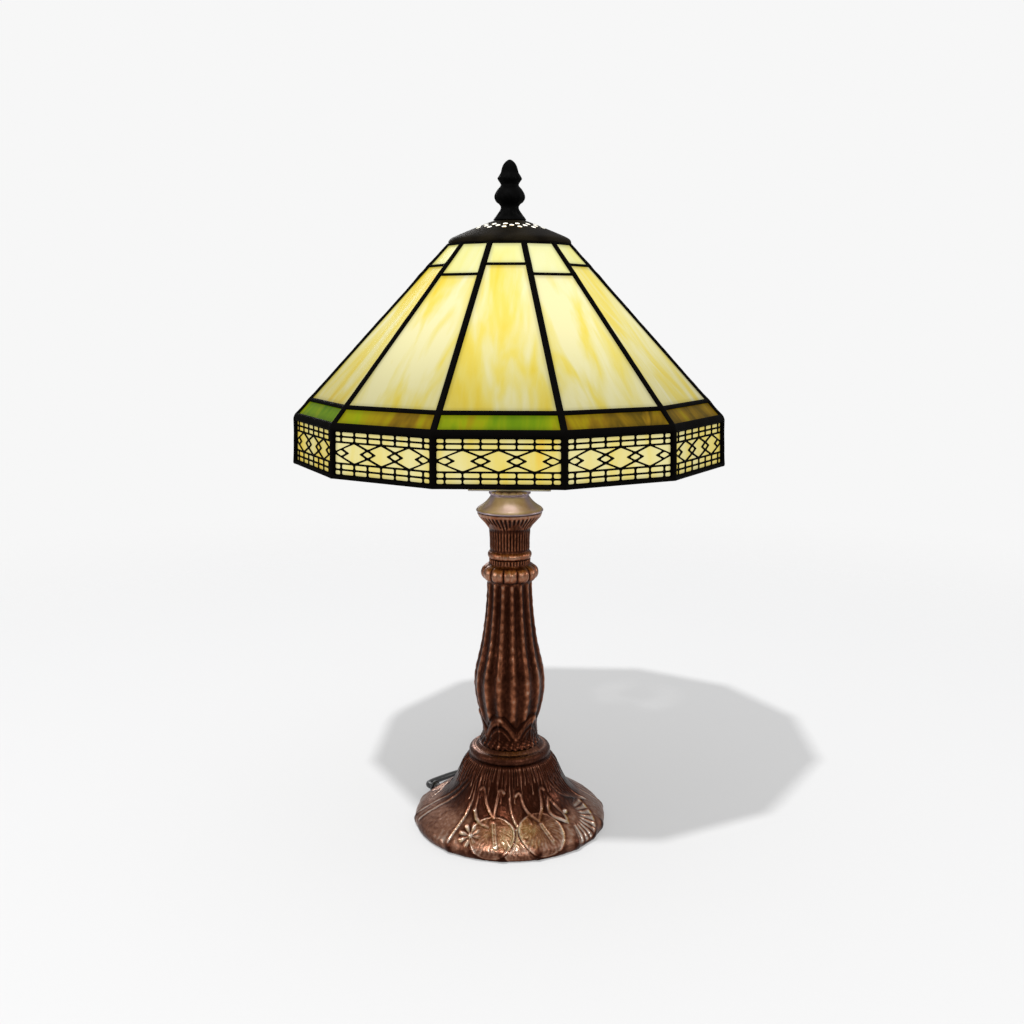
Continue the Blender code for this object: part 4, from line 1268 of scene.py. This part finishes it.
def build_harp(brass):
    """Wire loop, its two ferrules, and the threaded stud that the finial screws on."""
    side = [(29, 250), (40, 270), (53, 305), (56, 340), (50, 375), (34, 408), (15, 422), (0, 425)]
    loop = [(x, 0, z) for x, z in side] + [(-x, 0, z) for x, z in side[-2::-1]]
    stud = np.vstack([
        [(0, 422.0), (5.5, 422.0)], arc((7.2, 422.8), 0.8, -90, 0, 4),
        arc((7.2, 427.4), 0.8, 0, 90, 4), [(4.0, 428.2)],
        spaced([(2.95, 428.6), (2.95, 443.4)], 0.2), [(2.2, 444.0), (0, 444.0)],
    ])
    ferrule = np.vstack([
        [(2.4, 239.0), (3.3, 239.0)], spaced([(3.6, 240.0), (3.6, 243.5)], 1.0),
        arc((3.4, 245.0), 0.8, -70, 70, 6), spaced([(3.5, 246.4), (3.3, 253.4)], 1.5),
        [(2.6, 254.2), (1.8, 254.2), (1.8, 249.4), (2.4, 249.2)],
    ])
    parts = [
        tube("wire", smooth_line(loop, 2.0) * MM, 1.7 * MM),
        turned("stud", stud, 36, thread(430, 443, 0.94, 0.15), closed=False),
    ]
    for x in (-SADDLE_REACH, SADDLE_REACH):
        part = turned("ferrule", ferrule, 36)
        part.transform(Matrix.Translation((x, 0, 0)))
        parts.append(part)
    add_piece("harp_loop", join_meshes("harp_loop", parts), brass, "harp")


def build_saddle(steel):
    """Strip across the column's top, with a tongue turned up at each end."""
    low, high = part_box("harp_saddle")
    top = low.z + 1.2 * MM
    strip = rounded_box("strip", (-high.x, -high.y, low.z), (high.x, high.y, top), 0.35 * MM, 2)
    hole = tube("hole", [(0, 0, low.z - MM), (0, 0, low.z + 3 * MM)], PASSAGE_MM * MM, 32)
    parts = [cut_away("strip_bored", strip, hole)]
    half = Vector((0.6, 1.6, 0)) * MM
    for x in (-SADDLE_REACH, SADDLE_REACH):
        foot, tip = Vector((x, 0, low.z + 0.2 * MM)), Vector((x, 0, high.z))
        parts.append(rounded_box("tongue", foot - half, tip + half, 0.3 * MM, 2))
    add_piece("saddle", join_meshes("saddle", parts), steel, "harp_saddle")


def build_socket(brass, card):
    """Lamp holder: a beaded shell with its card liner."""
    shell_outline = np.vstack([
        [(5.3, 238.2), (8.0, 238.2)],
        smooth_line([(9.6, 238.3), (12.2, 240.0), (15.6, 243.6), (16.6, 246.0)], 0.7),
        spaced([(16.7, 246.6), (16.7, 262.0)], 2.0), arc((16.7, 264.0), 0.7, -90, 90, 6),
        spaced([(16.7, 266.0), (16.7, 286.0)], 2.0), arc((16.7, 288.0), 0.7, -90, 90, 6),
        [(16.7, 290.5), (16.8, 292.0), (15.9, 292.0)],
        spaced([(15.9, 288.0), (15.9, 246.4)], 6.0), [(12.0, 241.6), (9.4, 239.3), (5.3, 239.3)],
    ])
    liner = np.vstack([
        [(3.0, 249.0), (15.2, 249.0)], spaced([(15.4, 250.0), (15.4, 290.6)], 5.0),
        [(15.2, 291.0), (14.0, 291.0)], spaced([(13.8, 290.4), (13.8, 252.5)], 5.0),
        [(13.4, 252.0), (3.0, 252.0)],
    ])
    add_piece("holder_shell", turned("holder_shell", shell_outline, 96), brass, "socket_shell")
    add_piece("holder_liner", turned("holder_liner", liner, 96), card, "socket_liner")


def build_bulb(frosted, brass):
    """Pear-shaped bulb and its screw base."""
    globe = np.vstack([
        arc((0, 342), 29, 90, -12, 12),
        smooth_line([(27.6, 334.8), (23.6, 327.1), (17.1, 315.1), (13.0, 301.5), (12.1, 293.2),
                     (12.0, 286.0)], 3.0),
        smooth_line([(12.8, 286.0), (13.0, 293.0), (13.9, 301.0), (18.0, 314.5), (24.6, 326.5),
                     (28.7, 334.5)], 1.2),
        arc((0, 342), 30, -12, 90, 24),
    ])
    mesh = turned("globe", globe, 96, closed=False)
    add_piece("globe", mesh, frosted, "bulb_glass", "bulb_carriage", 60)
    base = np.vstack([
        [(0, 259.0), (3.6, 259.0), (4.6, 259.6), (8.8, 262.0), (11.6, 263.9), (12.6, 264.8)],
        spaced([(12.7, 265.5), (12.7, 281.6)], 0.35), [(12.9, 283.0), (13.0, 285.5), (12.2, 285.5)],
        spaced([(12.0, 284.0), (12.0, 265.8)], 1.0), [(9.2, 263.4), (4.0, 261.5), (0, 261.5)],
    ])
    mesh = turned("screw_shell", base, 72, thread(265, 282, 3.63, 0.22), closed=False)
    add_piece("screw_base", mesh, brass, "bulb_base", "bulb_screw", 60)


# ---------------------------------------------------------------- cord, switch and plug

CORD_RADIUS = 2.2 * MM
CORD_HEIGHT = 2.6 * MM
OUTLET_TURN = radians(147.2)  # anticlockwise from +X
OUTLET_HEIGHT = 5.8 * MM
COIL_CENTRE = Vector((-4.4 * MM, 95.0 * MM, 0))
COIL_HALF = (23.0 * MM, 18.0 * MM)
COIL_TURNS = 3
CORD_LEVEL = 4.9 * MM  # where it runs through the switch and into the plug
switch_low, switch_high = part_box("switch_body")
switch_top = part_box("switch_cover")[1].z
plug_low, plug_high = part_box("plug")
SWITCH_X = (switch_low.x + switch_high.x) / 2
SWITCH_Y = (switch_low.y + switch_high.y) / 2
PLUG_X = (plug_low.x + plug_high.x) / 2
ROCKER_HEIGHT = 11.2 * MM
ROCKER_TILT = radians(8)


def outlet_point(radius, height=OUTLET_HEIGHT):
    return Vector((radius * cos(OUTLET_TURN), radius * sin(OUTLET_TURN), height))


def coil_point(turn, height):
    """Point on the oval coil, counted from its left end, round by the back."""
    angle = pi - 2 * pi * turn
    return COIL_CENTRE + Vector((COIL_HALF[0] * cos(angle), COIL_HALF[1] * sin(angle), height))


def cord_path():
    """From the lamp holder down the pipe, out of the foot, round the coil and to the plug."""

    def places(*points):
        return [Vector(point) * MM for point in points]

    drop = places((0, 0, 247.5), (0, 0, 150), (0, 0, 60), (0, 0, 32), (-6, 4, 17), (-22, 14, 7))
    leave = [outlet_point(radius * MM) for radius in (42, 52, 71, 74)]
    swing = places((-63, 49, 4.2), (-51, 66, 2.6), (-37, 79, 2.6))
    falling = places((-31.5, 105, 13.5), (-28, 115, 8))
    pitch = 2 * CORD_RADIUS + 2 * GAP
    turns = np.linspace(0, COIL_TURNS, COIL_TURNS * 40 + 1)
    coil = [coil_point(turn, CORD_HEIGHT + pitch * turn) for turn in turns]
    entry = Vector((SWITCH_X, switch_low.y - 2 * MM, CORD_LEVEL))
    way_out = Vector((SWITCH_X, switch_high.y + 2 * MM, CORD_LEVEL))
    radius = (PLUG_X - SWITCH_X) / 2
    centre = Vector((SWITCH_X + radius, switch_high.y + 3 * MM, CORD_LEVEL))
    bend = [
        centre + Vector((-radius * cos(turn), radius * sin(turn), 0))
        for turn in np.radians(np.linspace(0, 180, 13))
    ]
    end = Vector((PLUG_X, plug_high.y - 1.0 * MM, CORD_LEVEL))
    approach = smooth_line(drop + leave + swing + coil[:1], 2.0 * MM)
    descent = smooth_line([coil[-1], *falling, entry], 2.0 * MM)
    return [*approach, *coil[1:], *descent[1:], way_out, *bend, end]


def build_cord(material):
    """The cord, and the bush where it leaves the foot."""
    add_piece("flex", tube("flex", cord_path(), CORD_RADIUS, 16), material, "power_cord", sharp=60)
    sleeve = np.vstack([
        spaced([(2.5, 52.0), (3.2, 52.0)], 1.0), spaced([(3.3, 53.0), (3.3, 67.4)], 2.0),
        smooth_line([(3.5, 68.0), (4.6, 68.4), (4.7, 69.4), (4.0, 70.5), (3.0, 70.9), (2.5, 70.8)], 0.3),
        spaced([(2.5, 69.0), (2.5, 54.0)], 4.0),
    ])
    mesh = turned("bush", sleeve, 40)
    lay_down = outlet_point(1, 0).to_track_quat("Z", "Y").to_matrix().to_4x4()
    mesh.transform(Matrix.Translation(up(OUTLET_HEIGHT)) @ lay_down)
    add_piece("cord_bush", mesh, material, "cord_grommet", sharp=60)


def build_plug(rubber, brass):
    """Moulded plug with finger ribs, a strain relief and two drilled blades."""
    front = plug_high.y - 26.0 * MM
    relief = [(PLUG_X, plug_high.y + step * MM, CORD_LEVEL) for step in (-2, -1, 0)]
    parts = [
        rounded_box("plug_body", (plug_low.x, front, plug_low.z), plug_high, 2.6 * MM, 5),
        tube("relief", relief, 3.4 * MM, 24),
    ]
    for index in range(4):
        y = front + (7.0 + 3.2 * index) * MM
        low = (plug_low.x - 0.35 * MM, y, plug_low.z + 2.5 * MM)
        high = (plug_high.x + 0.35 * MM, y + 1.5 * MM, plug_high.z + 0.35 * MM)
        parts.append(rounded_box("rib", low, high, 0.5 * MM, 3))
    add_piece("plug_moulding", join_meshes("plug_moulding", parts), rubber, "plug")
    blades = []
    for x in (PLUG_X - 6.3 * MM, PLUG_X + 6.3 * MM):
        low, high = (x - 0.75 * MM, plug_low.y, 3.6 * MM), (x + 0.75 * MM, front + 2 * MM, 9.8 * MM)
        y = plug_low.y + 4.5 * MM
        hole = tube("hole", [(x - 2 * MM, y, 6.7 * MM), (x + 2 * MM, y, 6.7 * MM)], 1.5 * MM)
        blades.append(cut_away("blade", rounded_box("blade", low, high, 0.5 * MM, 3), hole))
    add_piece("plug_blades", join_meshes("plug_blades", blades), brass, "plug")


def build_switch(rubber):
    """Switch in the cord: lower shell, ribbed cover with a window and sleeves, and the rocker."""
    centre = Vector((SWITCH_X, SWITCH_Y, 0))
    near, far = switch_low.xy.to_3d(), switch_high.xy.to_3d()
    beyond = Vector((9, 9, 0)) * MM
    split, cover_low = switch_high.z, switch_high.z + GAP

    def half(name, bottom, top, cut_from, cut_to):
        """A rounded box between two heights, with what lies in another range cut off."""
        body = rounded_box("blank", near + up(bottom), far + up(top), 2.8 * MM, 6)
        low, high = near - beyond + up(cut_from), far + beyond + up(cut_to)
        trim = rounded_box("trim", low, high, 0.1 * MM, 1)
        return cut_away(name, body, trim)

    lower = half("switch_shell", switch_low.z, split + 3 * MM, split, split + 9 * MM)
    add_piece("switch_shell", lower, rubber, "switch_body")
    cover = half("cover", cover_low - 3 * MM, switch_top, switch_low.z - 9 * MM, cover_low)
    window = rounded_box("window", centre + Vector((-5 * MM, -9 * MM, cover_low + 0.5 * MM)),
                         centre + Vector((5, 9, 20)) * MM, 0.6 * MM, 3)
    parts = [cut_away("switch_lid", cover, window)]
    for sign in (-1, 1):
        for rib in range(3):
            middle = centre + Vector((0, sign * (12.5 + 2.4 * rib) * MM, switch_top))
            low, high = Vector((-6.0, -0.5, -0.6)) * MM, Vector((6.0, 0.5, 0.4)) * MM
            parts.append(rounded_box("rib", middle + low, middle + high, 0.35 * MM, 3))
        end = switch_high.y - SWITCH_Y
        path = [centre + Vector((0, sign * (end + step * 0.55 * MM), CORD_LEVEL)) for step in range(-2, 5)]
        parts.append(tube("sleeve", path, 3.3 * MM, 24, lambda share: 1.05 - 0.2 * share))
    add_piece("switch_lid", join_meshes("switch_lid", parts), rubber, "switch_cover")

    low, high = Vector((-4.4, -8.2, -1.8)) * MM, Vector((4.4, 8.2, 4.2)) * MM
    dish = tube("dish", [(-9 * MM, 0, 24.6 * MM), (9 * MM, 0, 24.6 * MM)], 21.4 * MM, 96)
    rocker = cut_away("rocker_paddle", rounded_box("rocker_blank", low, high, 0.7 * MM, 4), dish)
    tilt = Matrix.Rotation(ROCKER_TILT, 4, "X")
    rocker.transform(Matrix.Translation(centre + up(ROCKER_HEIGHT)) @ tilt)
    add_piece("rocker_paddle", rocker, rubber, "switch_rocker", "rocker")


# ---------------------------------------------------------------- stage

BACKDROP = 0.93
PAPER, PAPER_GLOW = 0.3, 0.407  # the glow keeps the paper even, close to the lamp as well
KEY_PLACE = (-0.319, -0.784, 1.667)  # it throws a shadow a fifth wider than the shade


def paint_node(name, material):
    """Give a CAD node that stays its own finish."""
    mesh = nodes[name].data
    mesh.materials.clear()
    mesh.materials.append(material)


def build_floor():
    """Pale paper that fades into the backdrop well away from the lamp."""
    bpy.ops.mesh.primitive_circle_add(vertices=96, radius=2.0, fill_type="NGON")
    floor = bpy.context.active_object
    floor.name = "floor"
    paper = Finish("paper", {
        "Roughness": 1.0, "Specular IOR Level": 0.0, "Base Color": (PAPER, PAPER, PAPER),
        "Emission Color": (1.0, 1.0, 1.0), "Emission Strength": PAPER_GLOW,
    })
    away = paper.computed("ShaderNodeVectorMath", "Value", {"operation": "LENGTH"}, {0: paper.where})
    paper.put("Alpha", paper.fit(away, 0.5, 1.3, 1.0, 0.0))
    floor.data.materials.append(paper.material)


def build_world():
    """A pale backdrop for the camera; softly graded light for everything else."""
    world = bpy.data.worlds.new("studio")
    bpy.context.scene.world = world
    world.use_nodes = True
    tree = world.node_tree
    tree.nodes.clear()
    kinds = (
        "TexCoord", "SeparateXYZ", "ValToRGB", "Background", "Background", "LightPath", "MixShader",
        "OutputWorld",
    )
    place, split, grade, lit, seen, path, mix, output = (
        tree.nodes.new("ShaderNode" + kind) for kind in kinds
    )
    dark, pale = grade.color_ramp.elements
    dark.position, dark.color = 0.0, (0.16, 0.16, 0.17, 1)
    pale.position, pale.color = 0.95, (0.95, 0.95, 0.96, 1)
    lit.inputs["Strength"].default_value = 1.1
    seen.inputs["Color"].default_value = (BACKDROP, BACKDROP, BACKDROP, 1)
    for source, target in (
        (place.outputs["Generated"], split.inputs["Vector"]),
        (split.outputs["Z"], grade.inputs["Fac"]),
        (grade.outputs["Color"], lit.inputs["Color"]),
        (path.outputs["Is Camera Ray"], mix.inputs["Fac"]),
        (lit.outputs["Background"], mix.inputs[1]),
        (seen.outputs["Background"], mix.inputs[2]),
        (mix.outputs["Shader"], output.inputs["Surface"]),
    ):
        tree.links.new(source, target)


def add_light(lamp, place):
    """Put a light in the scene, aimed at the middle of the lamp."""
    thing = bpy.data.objects.new(lamp.name, lamp)
    thing.location = place
    thing.rotation_euler = (up(0.2) - Vector(place)).to_track_quat("-Z", "Y").to_euler()
    bpy.context.scene.collection.objects.link(thing)
    return thing


def add_softbox(name, place, energy, size):
    box = bpy.data.lights.new(name, "AREA")
    box.energy = energy
    box.size = size
    return add_light(box, place)


def add_key(name, energy):
    """A small light whose strength doesn't fall off with distance."""
    key = bpy.data.lights.new(name, "POINT")
    key.energy = energy
    key.shadow_soft_size = 0.04
    key.use_nodes = True
    tree = key.node_tree
    falloff = tree.nodes.new("ShaderNodeLightFalloff")
    falloff.inputs["Strength"].default_value = 1.0
    tree.links.new(falloff.outputs["Constant"], tree.nodes["Emission"].inputs["Strength"])
    return add_light(key, KEY_PLACE)


def floor_only(name, state):
    """What a light shines on: the floor alone, or everything but the floor."""
    reached = bpy.data.collections.new(name)
    reached.objects.link(bpy.data.objects["floor"])
    reached.collection_objects[0].light_linking.link_state = state
    return reached


def build_lights():
    """One key light for the paper and a weaker one in the same place for the lamp, and softboxes."""
    paper_key = add_key("paper_key", 45.0)
    paper_key.light_linking.receiver_collection = floor_only("lit_floor", "INCLUDE")
    unlit_floor = floor_only("unlit_floor", "EXCLUDE")
    glowing = [thing for thing in bpy.data.objects if "_glass_" in thing.name or thing.name == "globe"]
    for thing in (
        add_key("key", 15.6),
        add_softbox("front_box", (0.55, -1.3, 0.75), 5.0, 0.5),
        add_softbox("left_box", (-1.3, -0.5, 0.6), 5.0, 0.5),
        add_softbox("right_box", (1.35, 0.1, 0.55), 4.0, 0.4),
        add_softbox("back_box", (-0.5, 1.4, 0.8), 5.0, 0.5),
        *glowing,
    ):
        thing.light_linking.receiver_collection = unlit_floor


CAMERA_DISTANCE = 0.8127
CAMERA_HEIGHT = 0.3649
CAMERA_TURN = radians(2.6)
CAMERA_LENS = 39.73
LENS_SHIFT = (0.0022, -0.1963)


def build_camera():
    """A level camera with a drop of the lens, as for a picture of a building.

    The shift belongs to this standpoint, so a driver lets it go when the camera stands elsewhere.
    """
    lens = bpy.data.cameras.new("camera")
    lens.lens = CAMERA_LENS
    lens.clip_start = 0.05
    camera = bpy.data.objects.new("camera", lens)
    camera.location = (
        CAMERA_DISTANCE * sin(CAMERA_TURN), -CAMERA_DISTANCE * cos(CAMERA_TURN), CAMERA_HEIGHT
    )
    camera.rotation_euler = (pi / 2, 0, CAMERA_TURN)
    bpy.context.scene.collection.objects.link(camera)
    bpy.context.scene.camera = camera
    for channel, shift in zip(("shift_x", "shift_y"), LENS_SHIFT):
        setattr(lens, channel, shift)
        driver = lens.driver_add(channel).driver
        driver.type = "SCRIPTED"
        height = driver.variables.new()
        height.name = "height"
        height.type = "TRANSFORMS"
        height.targets[0].id = camera
        height.targets[0].transform_type = "LOC_Z"
        driver.expression = f"{shift} if abs(height - {CAMERA_HEIGHT}) < 0.0001 else 0"


# ---------------------------------------------------------------- the lamp

CREAM_STOPS = (
    (0.36, (0.85, 0.79, 0.42)), (0.46, (0.82, 0.73, 0.27)), (0.54, (0.83, 0.69, 0.14)),
    (0.64, (0.82, 0.63, 0.06)), (0.80, (0.78, 0.50, 0.03)),
)
CROWN_STOPS = ((0.35, (0.86, 0.85, 0.45)), (0.55, (0.85, 0.82, 0.30)), (0.75, (0.87, 0.74, 0.16)))
BAND_STOPS = (
    (0.36, (0.77, 0.70, 0.33)), (0.50, (0.76, 0.65, 0.22)), (0.62, (0.77, 0.61, 0.12)),
    (0.78, (0.80, 0.52, 0.06)),
)
COLUMN_STOPS = (
    (0.05, (0.022, 0.006, 0.003)), (0.26, (0.06, 0.018, 0.009)), (0.42, (0.125, 0.043, 0.021)),
    (0.6, (0.26, 0.092, 0.045)), (0.78, (0.36, 0.20, 0.13)), (1.0, (0.48, 0.37, 0.30)),
)
# The palest stops of the foot are reached under the painted sheen and highlight: grey-beige, as of light
# reflected by the metal.
FOOT_STOPS = (
    (0.05, (0.022, 0.006, 0.003)), (0.26, (0.055, 0.018, 0.010)), (0.42, (0.115, 0.046, 0.027)),
    (0.6, (0.23, 0.11, 0.069)), (0.78, (0.33, 0.23, 0.175)), (1.0, (0.48, 0.41, 0.36)),
)


def build_lamp():
    lead = surface(
        "lead", {"Specular IOR Level": 0.02}, (70.0, 4.0),
        ((0.4, (0.0012, 0.001, 0.0008)), (0.65, (0.002, 0.0015, 0.0012)), (0.8, (0.008, 0.005, 0.003))),
        (0.55, 0.75), (420.0, 4.0), 0.12,
    )
    felt = surface(
        "felt", {"Sheen Weight": 0.5}, (900.0, 5.0),
        ((0.3, (0.008, 0.03, 0.014)), (0.7, (0.03, 0.085, 0.045))), (0.97, 0.97), (900.0, 5.0), 0.3, 1.0,
    )
    fibre = (500.0, 4.0, (1.0, 1.0, 0.2))
    card = surface(
        "insulating_card", {}, fibre, ((0.3, (0.20, 0.13, 0.07)), (0.7, (0.36, 0.25, 0.15))),
        (0.85, 0.85), fibre, 0.1, 1.0,
    )
    brass = plain_metal("brass", (0.74, 0.54, 0.26), (0.52, 0.35, 0.15), 0.24)
    steel = plain_metal("plated_steel", (0.62, 0.61, 0.62), (0.44, 0.42, 0.43), 0.28)
    rubber = plastic("black_plastic", (0.010, 0.010, 0.011), 0.38)

    build_came(lead)
    build_panes({
        "crown": opal_glass("crown_glass", CROWN_STOPS, 1.06, 1.0),
        "body": opal_glass("cream_glass", CREAM_STOPS, 1.15, 0.66),
        "skirt": skirt_glass(),
        "band": opal_glass("band_glass", BAND_STOPS, 1.0, 1.0),
    })
    build_filigree(lead)
    build_cap(blackened("black_metal", (0.013, 0.0095, 0.0045), (0.005, 0.0035, 0.0018)), cap_lining())
    build_finial(blackened("jet_metal", (0.0014, 0.0014, 0.0013), (0.0008, 0.0008, 0.0008)))
    build_foot(bronze_finish("foot_patina", *FOOT_STOPS))
    build_column(bronze_finish("bronze_patina", *COLUMN_STOPS))
    build_cup(plain_metal("worn_copper", (0.47, 0.38, 0.42), (0.29, 0.21, 0.22), 0.34))
    build_harp(brass)
    build_saddle(steel)
    build_socket(brass, card)
    build_bulb(bulb_finish(), brass)
    build_cord(plastic("black_cord", (0.008, 0.008, 0.009), 0.30, 400.0))
    build_plug(rubber, brass)
    build_switch(rubber)
    for name, material in (("stem_pipe", steel), ("foot_nut", steel), ("felt_pad", felt)):
        paint_node(name, material)


build_lamp()
build_world()
build_floor()
build_lights()
build_camera()
bpy.context.scene.view_settings.view_transform = "Standard"
